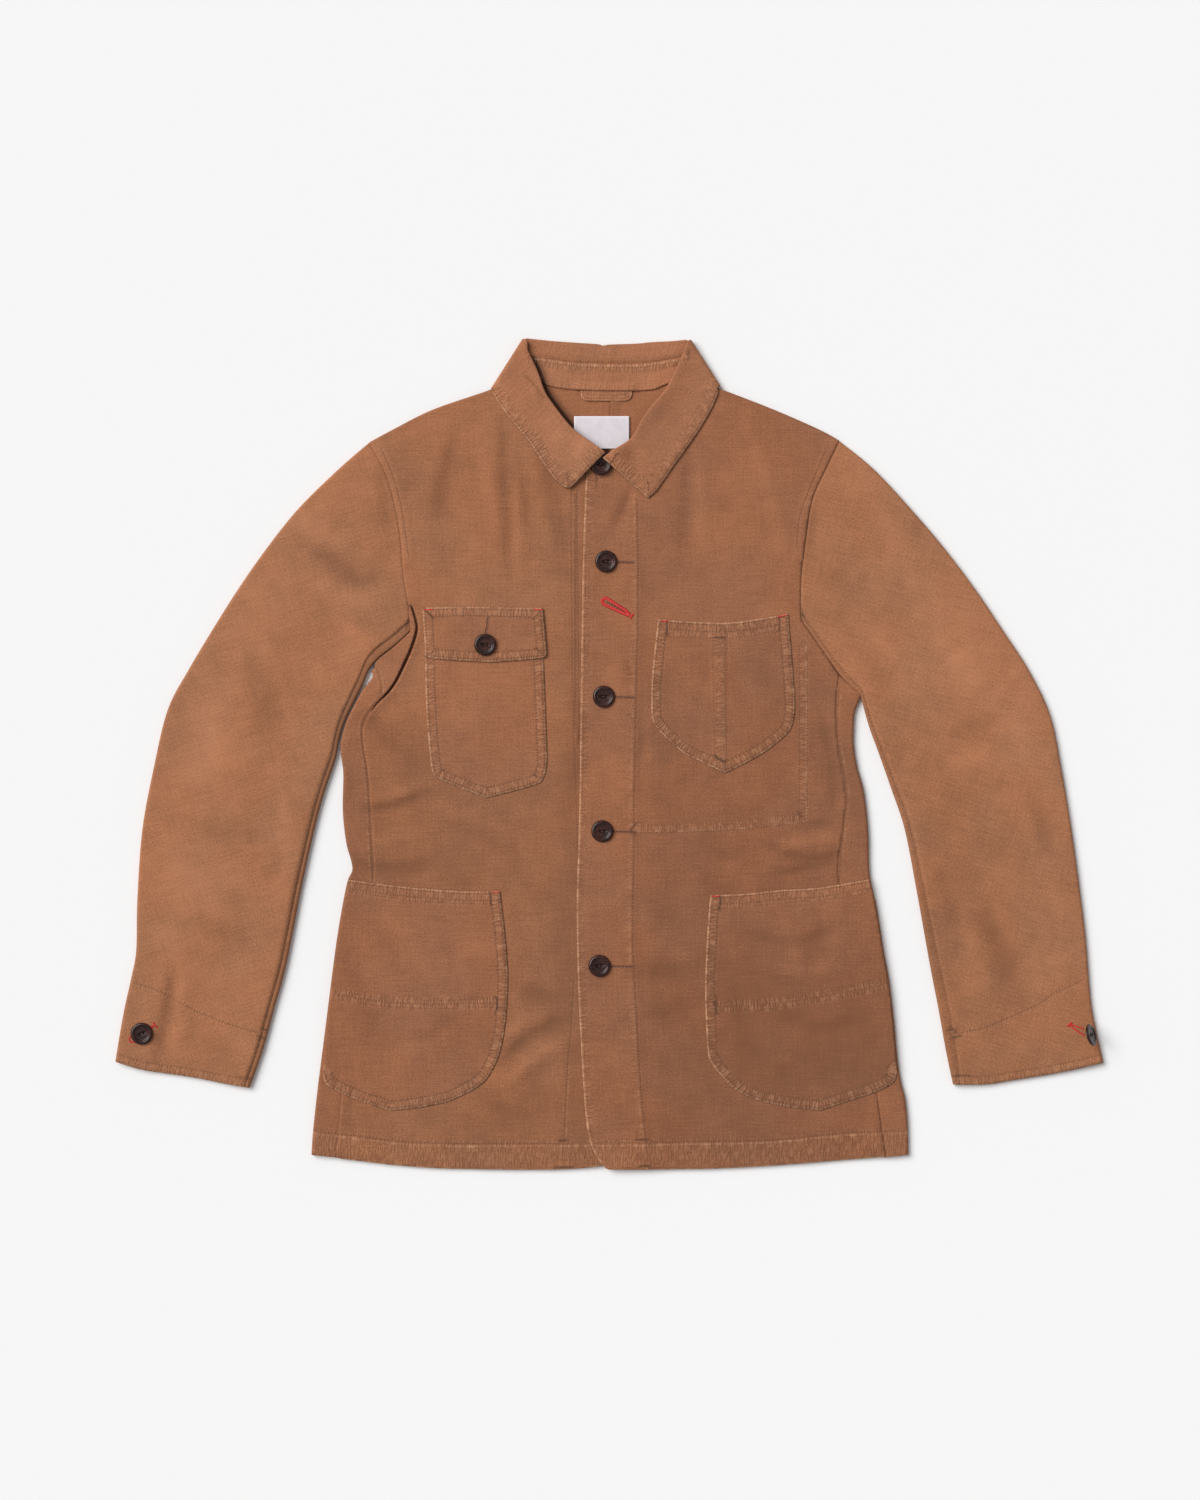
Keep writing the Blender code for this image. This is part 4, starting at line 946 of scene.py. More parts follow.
def backHalf(side):
    sign, look = sides[side], backLook
    fold, seam = curve(sideFold[side])[::-1], curve(sideSeam[side])[::-1]
    under = np.vstack([fold[-1:], curve(underarm[side][:bodyUnderarm])[::-1]])
    outer = path(look["outer"], (fold, under, curve(armhole[side])[::-1]))
    bottom = path((1,), (curve(hem[side])[::-1],))
    top = path(look["top"], (curve(backNeck[side]), curve(shoulder[side])))
    middle = path((1,), (np.vstack([bottom(np.zeros(1)), top(np.zeros(1))]),))
    foldEnd, armEnd, _ = np.cumsum(look["outer"])
    v = np.concatenate([
        np.linspace(0, foldEnd, look["side"]), np.linspace(foldEnd, armEnd, look["arm"])[1:],
        np.linspace(armEnd, 1, look["up"])[1:]])
    u = np.linspace(0, 1, look["across"])
    wide, deep = np.meshgrid(u, v)
    flat = patch(middle, outer, bottom, top, wide, deep)
    edge = outer(v)
    rise = upper(edge)
    onSide = v <= foldEnd + hair
    reach = np.where(onSide, lay["wall"] / 2 + (rise - lay["floorLayer"]) / 2, lay["seam"] / 2)
    flat[:, 0, 0] = look["overlap"] if side == "right" else 0.0
    flat[..., 0] -= sign * reach[:, None] * np.clip((wide - 0.93) / 0.07, 0, 1)
    base = heightOf(flat, lower)
    uneven = waves(flat.reshape(-1, 2), 8 + sign, (60, 95, 150)).reshape(wide.shape)
    lift = look["lift"] * np.clip(uneven, 0, 1)
    base[..., 2] += lift * smooth((0.9 - wide) / 0.1) * smooth((230 - flat[..., 1]) / 60)
    if side == "left":
        base[..., 2] += look["seamRise"] * np.exp(-(base[..., 0] / look["seamWidth"]) ** 4)
    toward = np.array([-sign, 0.0])
    floor = np.full(len(v), lay["floorLayer"])
    columns = [rolled(edge, toward, floor, rise, angle) for angle in foldAngles]
    start = columns[-1][:, :2]
    end = along(seam, v / foldEnd) + [sign * lay["seam"], 0]
    for share in np.linspace(0, 1, look["strip"])[1:]:
        columns.append(heightOf(start + (end - start) * share, upper))
    for reach, drop in lay["tuck"]:
        columns.append(heightOf(end - [sign * reach, 0], upper) - [0, 0, drop])
    rows = np.concatenate([base, np.stack(columns, 1)], 1)

    def tone(places):
        x, y, z = places.T
        under = np.where(y > 240, look["neckTone"], look["hiddenTone"])
        # painted shade in the gap beside the right wing
        byWing = nearest(places[:, :2], rollLines[0], 20)[0]
        under -= wingShade["depth"] * np.exp(-(byWing / wingShade["back"]) ** 2)
        if side == "left":
            # painted shade where the strip turns round the side fold on the left
            dark = np.exp(-(y / 45) ** 2)
        else:  # painted shade in the notch above the pocket
            dark = np.exp(-((x + 235) / 9) ** 2 - ((y + 103) / 13) ** 2)
        light, low, deep = look["stripTone"][side]
        strip = light - low * smooth((60 - y) / 90) - deep * dark
        return np.where(z < 2.6, under, strip)

    bands = [(curve(hemStitch[side], 3), hemWidths, 0.7, -2.4),
             (curve(sideStrip[side], 4) + [sign, 0], 3.5, 0.5, 2.2 * sign),
             (np.array([(3, -340), (3, 328)], float), 5, 0.35, 3.4)]
    back = rowCloth("backPanel_" + side, rows, paints["inside"], [curve(hem[side], 3)], bands, tone,
                    lambda row, column: (row >= look["side"] - 1) & (column >= look["across"] - 1))
    settle(back, "canvas_inside", "back_" + side)
    return back


# each sleeve has a top piece round the outer fold and an under piece round the inner one
sleeveLook = {
    "rows": 180, "top": 48, "under": 24, "backSeam": 9.0, "start": 0.0008,
    "turn": 17,                          # degrees from the body's weave to the sleeve's
    "cuffWidth": 43, "cuffRise": 0.3, "cuffPucker": 0.15,
    "shade": 0.12, "pale": 0.3, "paleWidth": 34, "lowShade": {"right": 0.06, "left": 0.3},
    # share of the length, and how far the seam lies from the inner edge
    "seam": {"right": ((0, 9.0), (0.12, 9.0), (0.24, 5.5), (0.45, 4.6), (1, 4.6)),
             "left": ((0, 6.0), (0.3, 5.0), (0.55, 7.0), (0.8, 9.5), (0.92, 9.5), (1, 6.5))},
}
paleLine = {  # lighter along these lines
    "right": [(-232, 262), (-300, 175), (-365, 70), (-395, -60), (-400, -170)],
    "left": [(228, 262), (300, 165), (362, 50), (392, -80), (398, -170)],
}


def tuckedEnd(rows):
    away = (rows[0] - rows[1]) * [1, 1, 0]
    away /= np.linalg.norm(away, axis=1)[:, None] + hair
    over = smooth((rows[0, :, 2] - lay["floorLayer"] - 0.8) / 1.5)[:, None]
    extra = [rows[0] + away * (0.1 + reach * over) - over * [0, 0, drop] for reach, drop in lay["tuck"]]
    return np.concatenate([extra[::-1], rows])


def sleevePair(side):
    look = sleeveLook
    arm = path((1,), (curve(armhole[side]),))
    outer = path((1,), (curve(sleeveOuter[side]),))
    inner = path((1 / 6, 5 / 6), (curve(underarm[side]), curve(sleeveInner[side])))
    end = path((1,), (curve(cuff[side]),))
    v = look["start"] + (1 - look["start"]) * np.linspace(0, 1, look["rows"])

    def across(u):
        return patch(outer, inner, arm, end, np.full(len(v), float(u)),
                     v + (1 - v) * 2.5 * look["start"] * u ** 4)

    def unit(away):
        return away / np.hypot(*away.T)[:, None]

    foldOut, insideOut, insideIn = across(0), unit(across(0.05) - across(0)), unit(across(0.95) - across(1))
    foldIn = across(1) + insideIn * 1.5 * lay["seam"]
    seamTop = foldIn + insideIn * np.interp(v, *np.array(look["seam"][side]).T)[:, None]
    seamBack = foldOut + insideOut * look["backSeam"]
    floorHeights = np.full((len(v), 1), lay["floorLayer"])
    floor = floorHeights[:, 0]
    surface = sleeveSurface(side)
    top = [np.hstack([seamBack, floorHeights]),
           np.hstack([(seamBack + foldOut) / 2 + insideOut, floorHeights])]
    top += [rolled(foldOut, insideOut, floor, surface(foldOut), angle) for angle in [-90] + foldAngles]
    top += [heightOf(across(u), surface) for u in np.linspace(0.035, 0.89, look["top"])]
    top += [heightOf((across(0.89) + seamTop) / 2, surface), heightOf(seamTop, surface)]
    under = [heightOf(seamTop + insideIn * (reach - 0.7), surface) - [0, 0, drop]
             for reach, drop in lay["tuck"][::-1]]
    under.append(heightOf(seamTop - insideIn * 0.7, surface) - [0, 0, 0.2])
    seamBack = seamBack + insideOut * lay["seam"]
    under += [rolled(foldIn, insideIn, floor, surface(foldIn), angle) for angle in foldAngles[::-1] + [-90]]
    under += [np.hstack([across(u), floorHeights]) for u in np.linspace(0.93, 0.1, look["under"])]
    under.append(np.hstack([seamBack, floorHeights]))
    bands = [(seamTop[::3] + insideIn[::3] * 0.8, 3, 0.35, 0.0), (curve(armhole[side], 3), 2.2, 0.5),
             (curve(cuffStitch[side], 3), 3.5, 0.6), (curve(cuff[side], 3), 8, 0.75)]
    edges = [curve(cuff[side], 3)]
    turn = math.radians(-sides[side] * look["turn"])

    def weave(rows):
        x, y, z = np.moveaxis(rows, -1, 0)
        threadwise = x * math.cos(turn) + y * math.sin(turn) + z
        return np.stack([threadwise, y * math.cos(turn) - x * math.sin(turn)], -1)

    def tone(places):
        low = smooth((90 - places[:, 1]) / 220)
        lit = nearest(places[:, :2], np.array(paleLine[side], float))[0]
        pale = look["pale"] * np.exp(-(lit / look["paleWidth"]) ** 2)
        return pale - look["shade"] - look["lowShade"][side] * low

    def stripTone(places):  # the strip by the inner fold lies in shade
        shade = 0.7 + 1.1 * np.exp(-((places[:, 1] - 20) / 65) ** 2) if side == "right" else 0.2
        return tone(places) - shade

    topRows, underRows = tuckedEnd(np.stack(top, 1)), tuckedEnd(np.stack(under, 1))
    upperPiece = rowCloth("sleeveTop_" + side, topRows, paints["sleeve"], edges, bands, tone,
                          flat=weave(topRows))
    underPiece = rowCloth("sleeveUnder_" + side, underRows, paints["sleeve"], edges, bands, stripTone,
                          flat=weave(underRows))
    settle(upperPiece, "canvas", "sleeve_%s_top" % side)
    settle(underPiece, "canvas_inside", "sleeve_%s_under" % side)
    return upperPiece, underPiece


def sleeveSurface(side):
    look = sleeveLook
    line = curve(cuffStitch[side], 3)
    line = line if side == "left" else line[::-1]

    def surface(places):
        fromEnd, _ = nearest(places, curve(cuff[side], 3), 60)
        gap, run = nearest(places, line, 8)
        turnedUp = look["cuffRise"] * smooth((look["cuffWidth"] - fromEnd) / 5)
        return upper(places) + turnedUp + look["cuffPucker"] * puckers(run) * np.exp(-(gap / 4) ** 2)
    return surface


frontLook = {
    "step": 2.4, "gapStep": 1.3, "hemBand": 20, "hemRise": 0.3, "placketBand": 5, "placketEdgeRise": 0.15,
    "placketRise": 0.35, "facingRise": 0.25, "stripRise": 0.4, "stripTone": 0.32, "gapRise": 0.9,
}
gapLine = curve(armpitGap, 5)
gapHalf = 0.25 + 1.1 * np.sin(np.linspace(0.05, 1, len(gapLine)) * math.pi) ** 0.6   # half its width
hiddenEdge = [(lay["overlapEdge"], y) for y in (-372, -200, 0, 263)]   # of the right front, under the left


def seamAndHem(side):
    seam, bottom = curve(sideSeam[side]), curve(hem[side])
    return seam, bottom[np.abs(bottom[:, 0]) < abs(seam[-1, 0]) - 2]


def frontRightOutlines():
    seam, bottom = seamAndHem("right")
    hole = curve(armhole["right"])
    split = gapLine[0, 1]
    main = joined(curve(shoulder["right"]), hole[hole[:, 1] > split], inset(gapLine, gapHalf[:, None]),
                  seam[seam[:, 1] < gapLine[-1, 1] - 1.5], bottom, np.array(hiddenEdge, float),
                  curve(frontNeck["right"]))
    sidePanel = joined(hole[hole[:, 1] <= split], curve(underarm["right"][:bodyUnderarm]),
                       seam[seam[:, 1] > gapLine[-1, 1] + 1.0],
                       inset(gapLine, -gapHalf[:, None])[::-1])
    return main, sidePanel


def frontLeftOutline():
    seam, bottom = seamAndHem("left")
    return joined(curve(shoulder["left"]), curve(armhole["left"]), curve(underarm["left"][:bodyUnderarm]),
                  seam, bottom, curve(placketEdge), curve(frontNeck["left"]))


def sideOfLine(places, line):
    order = np.argsort(line[:, 1])
    return places[:, 0] - np.interp(places[:, 1], line[order, 1], line[order, 0])


def hemRelief(places, side):
    return band(places, curve(hem[side], 3), frontLook["hemBand"], frontLook["hemRise"])


def armStrip(places, side):
    # the felled seam allowance beside the armhole
    across = nearest(places, curve(armhole[side], 3), 30)[0]
    return smooth((10.2 - across) / 1.6) * smooth((places[:, 1] - 172) / 6)


def frontRightSurface(places):
    look = frontLook
    height = upper(places) + hemRelief(places, "right") + look["stripRise"] * armStrip(places, "right")
    height += look["facingRise"] * smooth((sideOfLine(places, curve(underFacing[0], 3)) + 2.5) / 5)
    height += look["gapRise"] * np.exp(-(nearest(places, gapLine, 30)[0] / 6) ** 2)
    return height


def frontLeftSurface(places):
    look = frontLook
    height = overFront(places) + hemRelief(places, "left") + look["stripRise"] * armStrip(places, "left")
    height += look["placketRise"] * smooth((2.5 - sideOfLine(places, curve(facingStitch, 3))) / 5)
    height += band(places, curve(placketEdge, 3), look["placketBand"], look["placketEdgeRise"])
    return height


def fronts():
    look = frontLook
    main, sidePanel = frontRightOutlines()
    corners = [shoulder["right"][0], shoulder["right"][-1], sideSeam["right"][-1], hiddenEdge[0],
               hiddenEdge[-1], armpitGap[-1]]
    # line, width on its two sides, how much it puckers, and where its worn ridge lies
    bands = [(joined(curve(hemStitch["right"], 3), [(20, -353)]), hemWidths, 0.75, -2.4)]
    bands += [(curve(line, 3), 3, 0.2) for line in underFacing[:2]]
    bands += [(curve(underFacing[2], 3), 3, 0.5, 2.0), (curve(felledArmhole["right"], 3), 2.5, 0.35, 1.2)]

    def shadedRight(places):  # beside the gap, low down and next to the placket
        byGap = nearest(places, gapLine, 30)[0]
        beyond = sideOfLine(places, curve(placketEdge, 3))
        return (-0.35 * np.exp(-(byGap / 8) ** 2) - 0.4 * smooth((60 - places[:, 1]) / 90)
                - 0.3 * np.exp(-((beyond + 6) / 11) ** 2) + look["stripTone"] * armStrip(places, "right"))

    right = flatCloth("frontPanel_right", [main], look["step"], frontRightSurface, paints["chest"],
                      [curve(hem["right"], 3)], bands, corners, shadedRight)
    bands = [(curve(sideStrip["right"], 3), 4, 0.5, 1.2)]
    corners = [underarm["right"][2], sideSeam["right"][0]]
    panel = flatCloth("frontSide_right", [sidePanel], look["gapStep"], frontRightSurface, paints["body"],
                      [], bands, corners, lambda places: np.full(len(places), -0.12))
    corners = [shoulder["left"][0], shoulder["left"][-1], sideSeam["left"][-1], placketEdge[-1],
               sideSeam["left"][0]]
    mapLine = joined(curve(mapPocket["side"], 3) + [3.6, 0], curve(mapPocket["bottom"], 3)[::-1])
    edge = curve(placketEdge, 3)
    bands = [(edge[edge[:, 1] > -338], 9, 0.75),
             (joined([(-16, -353)], curve(hemStitch["left"], 3)), hemWidths, 0.75, -2.4),
             (curve(facingStitch, 3), (8, 2), 0.5, -2.7), (mapLine, (8, 1), 0.85, -0.4),
             (curve(felledArmhole["left"], 3), 2.5, 0.35, 1.2), (curve(neckStitch, 3), 2.5, 0.4)]

    def shadedLeft(places):  # below the shield pocket, low down and beside the placket
        x, y = places.T
        beyond = sideOfLine(places, curve(facingStitch, 3))
        return (-0.42 * smooth((130 - y) / 90) * smooth((x - 15) / 40) - 0.2 * smooth(-y / 150)
                - 0.26 * np.exp(-((beyond - 3) / 4) ** 2) + look["stripTone"] * armStrip(places, "left"))

    left = flatCloth("frontPanel_left", [frontLeftOutline()], look["step"], frontLeftSurface,
                     paints["body"], [curve(hem["left"], 3), edge], bands, corners, shadedLeft)
    settle(right, "canvas", "front_right")
    settle(panel, "canvas")
    settle(left, "canvas", "front_left")
    return right, panel, left


pocketLook = {
    "step": 1.7, "lowerStep": 1.9, "flapStep": 1.5, "layer": 1.0, "wall": 0.7,
    "bandWidth": 9.5, "bandRise": 0.22, "pucker": 0.14, "edgeDrop": 0.12, "edgeWidth": 1.2,
    "flapRise": 0.15, "flapPucker": 0.12, "flapDrop": 1.0, "flapEdge": 3.5,
    "foldRise": 0.55, "mouthRise": 0.45, "mouthPucker": 0.12, "middlePucker": 0.16,
    "lowTone": {"right": -0.16, "left": -0.95},
}


def curvesOf(table, *order):
    return [curve(table[key]) for key in order]


def threeSides(table):
    return [curve(line) for line in (table["sides"][0], table["bottom"], table["sides"][1])]


chestOutline, chestSewn = joined(*threeSides(chestPocket)), np.vstack(threeSides(chestPocket))
shieldOutline = joined(*threeSides(shieldPocket), curve(shieldPocket["top"]))
shieldSewn = np.vstack(threeSides(shieldPocket))
flapOutline = joined(*curvesOf(chestFlap, "top", "right", "bottom", "left"))
lowerOutlines = {"right": joined(*curvesOf(lowerPocket["right"], "top", "inner", "bottom", "outer")),
                 "left": joined(*curvesOf(lowerPocket["left"], "inner", "top", "outer", "bottom"))}
lowerSewn = {"right": np.vstack(curvesOf(lowerPocket["right"], "inner", "bottom")),
             "left": np.vstack(curvesOf(lowerPocket["left"], "bottom", "inner"))}


def sewnBand(places, line):
    look = pocketLook
    gap, run = nearest(places, line, look["bandWidth"] + 6)
    raised = smooth((look["bandWidth"] - gap) / 2.2) * smooth(gap / 1.6)
    return (raised * (look["bandRise"] + look["pucker"] * puckers(run))
            - look["edgeDrop"] * np.exp(-(gap / look["edgeWidth"]) ** 2))


def chestPocketSurface(places):
    return upper(places) + pocketLook["layer"] + sewnBand(places, chestSewn)


def shieldPocketSurface(places):
    mouth = np.exp(-(nearest(places, curve(shieldPocket["top"], 3), 30)[0] / 9) ** 2)
    fold = -sideOfLine(places, curve(shieldFold, 3))
    return (overFront(places) + pocketLook["layer"] + sewnBand(places, shieldSewn) + 0.3 * mouth
            + pocketLook["foldRise"] * smooth((fold + 0.8) / 1.6) * smooth((13 - fold) / 6))


def flapSurface(places):
    look = pocketLook
    gap, run = nearest(places, closed(flapOutline), 16)
    layers = 2 - smooth((places[:, 1] - 126) / 16)   # one at the seam, two over the pocket
    return (upper(places) + layers * lay["layer"] + 0.1
            + look["flapRise"] * smooth(gap / 2) * smooth((10 - gap) / 3)
            + look["flapPucker"] * puckers(run) * smooth(gap / 2) * smooth((12 - gap) / 5)
            - look["flapDrop"] * np.exp(-(gap / look["flapEdge"]) ** 2))


def lowerPocketSurface(side):
    look = pocketLook
    base = upper if side == "right" else overFront
    topLine = curve(lowerPocket[side]["top"], 3)
    middle = curve(lowerMiddle[side], 3)

    def surface(places):
        mouth, run = nearest(places, topLine, 40)
        seam, seamRun = nearest(places, middle, 12)
        return (base(places) + look["layer"] + 0.1 + sewnBand(places, lowerSewn[side])
                + look["mouthRise"] * np.exp(-(mouth / 10) ** 2)
                + look["mouthPucker"] * puckers(run) * smooth((14 - mouth) / 4)
                + look["middlePucker"] * puckers(seamRun) * smooth((7 - seam) / 4))
    return surface


def pointOf(line):
    # the corner, which is given twice
    return next(a for a, b in zip(line, line[1:]) if a == b)


def shieldTone(places):  # darker overall, with painted shade in one soft fold and along the division
    x = places[:, 0]
    return -0.2 - 0.35 * np.exp(-((x - 141) / 12) ** 2) - 0.45 * np.exp(-((x - 104.4) / 1.6) ** 2)


def pockets():
    look, made = pocketLook, {}
    sewn = [(chestSewn, 10, 1.0)]
    corners = [chestPocket["sides"][0][0], chestPocket["sides"][1][-1], pointOf(chestPocket["bottom"])]
    made["chest"] = flatCloth("chestPocket", [chestOutline], look["step"], chestPocketSurface,
                              paints["pocket"], [chestSewn], sewn, corners, None, look["wall"])
    sewn = [(shieldSewn, 10, 1.0), (curve(shieldPocket["top"], 3), 14, 0.9),
            (curve(shieldFold, 3)[::-1], (1.5, 8), 0.8, 0.3)]
    corners = [shieldPocket["sides"][0][0], shieldPocket["sides"][1][-1], pointOf(shieldPocket["bottom"])]
    made["shield"] = flatCloth("shieldPocket", [shieldOutline], look["step"], shieldPocketSurface,
                               paints["pocket"], [shieldSewn, curve(shieldPocket["top"], 3)], sewn, corners,
                               shieldTone, look["wall"])
    corners = [chestFlap["top"][0], chestFlap["top"][-1]]
    made["flap"] = flatCloth("chestFlap", [flapOutline], look["flapStep"], flapSurface, paints["pocket"],
                             [closed(flapOutline)], [(closed(flapOutline), 9, 1.0)], corners)
    for side in sides:
        table = lowerPocket[side]
        edges = [lowerSewn[side], curve(table["top"], 3)]
        sewn = [(lowerSewn[side], 10, 1.0), (curve(table["top"], 3), 13, 0.8),
                (curve(lowerMiddle[side], 3), 6, 0.9)]
        corners = [table["top"][0], table["top"][-1], pointOf(table["bottom"])]
        deep = look["lowTone"][side]
        made[side] = flatCloth("lowerPocket_" + side, [lowerOutlines[side]], look["lowerStep"],
                               lowerPocketSurface(side), paints["pocket"], edges, sewn, corners,
                               lambda p: deep * smooth((-90 - p[:, 1]) / 120), look["wall"])
        settle(made[side], "canvas", "lower_pocket_" + side)
    settle(made["chest"], "canvas", "chest_pocket")
    settle(made["shield"], "canvas", "shield_pocket")
    settle(made["flap"], "canvas", "chest_flap")
    return made


collarLook = {
    "across": 36, "wing": 66, "back": 64, "stand": 60, "standRows": 20,   # rows and columns
    "roll": 0.9, "puff": 2.0, "ease": 0.7, "turnUnder": 4.0, "buttonLift": 4.4,
    "pucker": 0.2, "edgeRise": 0.2, "edgeDrop": 0.65, "edgeWidth": 2.5,
    "wrap": (90, 70, 50, 30, 10, -10, -30, -45),   # degrees round the wings' outer sides
    # height of the stand at shares of its width, from the leaf down to the neck seam
    "standAt": (0, 0.05, 0.22, 0.35, 0.8, 1), "standHeight": (3.55, 3.85, 3.7, 2.75, 2.8, 3.5),
}


def leafHeight(places):
    look = collarLook
    lift = lay["overlapLift"] * smooth((places[:, 0] + 62) / 24)
    lift = lift * (1 - smooth((places[:, 0] - lay["overlapEdge"] - 3) / lay["overlapRamp"]))
    roll = gapTo(places, rollLines, 40)
    nearButton = smooth(1.6 - np.hypot(*(places - buttons["button_neck"][:2]).T) / 22)
    height = (upper(places) + lay["layer"] + look["ease"] + lift
              + look["puff"] * np.exp(-(roll / 10) ** 2) + look["buttonLift"] * nearButton)
    for side in sides:
        gap, run = nearest(places, wingSewn[side], 20)
        height += (look["pucker"] * puckers(run) * smooth((13 - gap) / 5)
                   + look["edgeRise"] * smooth(gap / 2) * smooth((12 - gap) / 3))
        height -= look["edgeDrop"] * np.exp(-(gap / look["edgeWidth"]) ** 2)
    return height


def frontOfWing(side):
    return np.array([wingRoll[side][0], wingEdge[side][0]], float)


wingSewn = {side: np.vstack([frontOfWing(side), curve(wingEdge[side], 4)]) for side in sides}


def collarLine(start, end, height, normal, under=None):
    # one line of cloth: from under the roll, round it and out to the edge
    look = collarLook
    leaf = (end - start) / np.hypot(*(end - start))
    start = start + leaf * (look["roll"] + lay["wall"] / 2)
    shares = np.linspace(0, 1, look["across"])[:, None]
    flat = height(start + (end - start) * shares)
    away = -np.array([*leaf, 0.0])
    arc = [flat[0] + away * look["roll"] * math.sin(math.radians(turn))
           - normal * look["roll"] * (1 - math.cos(math.radians(turn))) for turn in range(180, 0, -20)]
    if under is None:
        away = flat[1] - flat[0]
        tucked = arc[0] + away / np.linalg.norm(away) * look["turnUnder"]
    else:
        tucked = np.array([*under, arc[0][2]])
    return np.vstack([[tucked], [(tucked + arc[0]) / 2], arc, flat])


def wingLines(side):
    look, up = collarLook, np.array([0, 0, 1.0])
    roll, edge = curve(wingRoll[side]), curve(wingEdge[side])
    corner, tip = np.array(collarSide[side], float)
    inside = np.array([(tip - corner)[1], -(tip - corner)[0]]) * sides[side]
    inside = np.array([*inside / np.hypot(*inside), 0.0])
    lines = [collarLine(along(roll, 0.93 * t), along(edge, 0.97 * t), lambda p: heightOf(p, leafHeight), up)
             for t in np.linspace(0, 1, look["wing"])]

    def wrapped(places):
        floor = np.full(len(places), lay["floorLayer"])
        return rolled(places, inside[:2], floor, leafHeight(places), angle)

    for angle in look["wrap"]:
        turn = math.radians(angle)
        lines.append(collarLine(corner, tip, wrapped, up * math.sin(turn) - inside * math.cos(turn)))
    return lines


def collar():
    look = collarLook
    roll, edge, seam = curve(backRoll), curve(fallEdge), curve(bandSeam)
    back = [collarLine(along(roll, t), along(edge, t),
                       lambda p: np.column_stack([p, np.full(len(p), lay["floorLayer"])]),
                       np.array([0, 0, -1.0]), along(seam, t)) for t in np.linspace(0, 1, look["back"])]
    right, left = wingLines("right"), wingLines("left")
    rows = np.array(right + back + left[::-1])
    first, last, wrap = len(right), len(right) + len(back) - 1, len(look["wrap"])

    def skip(row, column):  # the turned-under end has no cells where the wings go round
        rightWing, leftWing = (row >= first - wrap) & (row < first), (row >= last) & (row < last + wrap)
        return (column < 2) & (rightWing | leftWing)

    edges = [wingSewn[side] for side in sides]
    bands = [(wingSewn[side], 11.5, 1.0) for side in sides] + [(curve(bandSeam, 3), 5, 0.7)]

    def tone(places):
        # painted shade along a short crease at the right end of the collar
        crease = nearest(places[:, :2], curve([(-77, 343), (-69, 334.5), (-61, 323)], 4), 20)[0]
        return -0.8 * np.exp(-(crease / 1.5) ** 2) - 0.08

    leaf = rowCloth("collarLeaf", rows, paints["collar"], edges, bands, tone, skip)
    settle(leaf, "canvas", "collar_leaf")
    high, low = curve(bandSeam) + [0, 3.4], curve(standNeck)
    t = np.linspace(0, 1, look["stand"])
    top, foot = along(high, t), along(low, t)
    x = foot[:, 0]
    overLoop = smooth((loopPlace["x"][1] + 7 - x) / 6) * smooth((x - loopPlace["x"][0] + 7) / 6)
    rows = []
    for share in np.linspace(0, 1, look["standRows"]):
        place = top + (foot - top) * share
        height = np.interp(share, look["standAt"], look["standHeight"])
        height = (height + 0.28 * puckers(t * 150) * (share < 0.3)
                  + 0.2 * puckers(t * 150 + 40) * smooth((share - 0.6) / 0.3)
                  + overLoop * 1.6 * smooth((share - 0.62) / 0.3))
        rows.append(np.column_stack([place, height]))

    def standTone(places):
        # painted shade in the gap beside the right wing
        byWing = nearest(places[:, :2], rollLines[0], 20)[0]
        return 0.1 - wingShade["depth"] * np.exp(-(byWing / wingShade["stand"]) ** 2)

    stand = rowCloth("collarStand", np.stack(rows, 1), paints["collar"], [],
                     [(high - [0, 3.6], 4.5, 1.0, 1.4), (low, 4, 0.7)], standTone)
    settle(stand, "canvas", "collar_stand")
    return leaf, stand


neckLook = {"labelStep": 1.2, "labelRise": 0.3, "labelWave": 0.12, "loopStep": 0.9, "loopRise": 1.35}


def rectangle(place, corner=0.0):
    (x0, x1), (y0, y1) = place["x"], place["y"]
    points = [(x0, y1), (x1, y1)]
    for centre, start in (((x1 - corner, y0 + corner), 0), ((x0 + corner, y0 + corner), -90)):
        for turn in ((0, -30, -60, -90) if corner else (0,)):
            angle = math.radians(start + turn)
            points.append((centre[0] + corner * math.cos(angle), centre[1] + corner * math.sin(angle)))
    return np.array(points, float)


def labelSurface(places):
    uneven = neckLook["labelWave"] * waves(places, 21, (18, 30), 3)
    return lower(places) + lay["layer"] + neckLook["labelRise"] + uneven


def loopSurface(places):
    edge, _ = nearest(places, closed(rectangle(loopPlace, loopPlace["corner"])), 30)
    return lower(places) + neckLook["loopRise"] + 0.35 * smooth(edge / 3)


def neckPieces():
    look = neckLook
    outline = rectangle(labelPlace)
    # the label's lower left corner is darkened as painted shadow
    label = flatCloth("neckLabel", [outline], look["labelStep"], labelSurface, paints["tape"],
                      [closed(outline)], [], outline,
                      lambda p: -1.2 * np.exp(-(np.hypot(p[:, 0] + 33, p[:, 1] - 277) / 13) ** 2))
    outline = rectangle(loopPlace, loopPlace["corner"])
    loop = flatCloth("hangerLoop", [outline], look["loopStep"], loopSurface, paints["collar"],
                     [closed(outline)], [(curve(loopStitch, 3), 3, 0.6, 0.0)], outline[:2])
    settle(label, "label_tape", "neck_label")
    settle(loop, "canvas", "hanger_loop")
    return label, loop


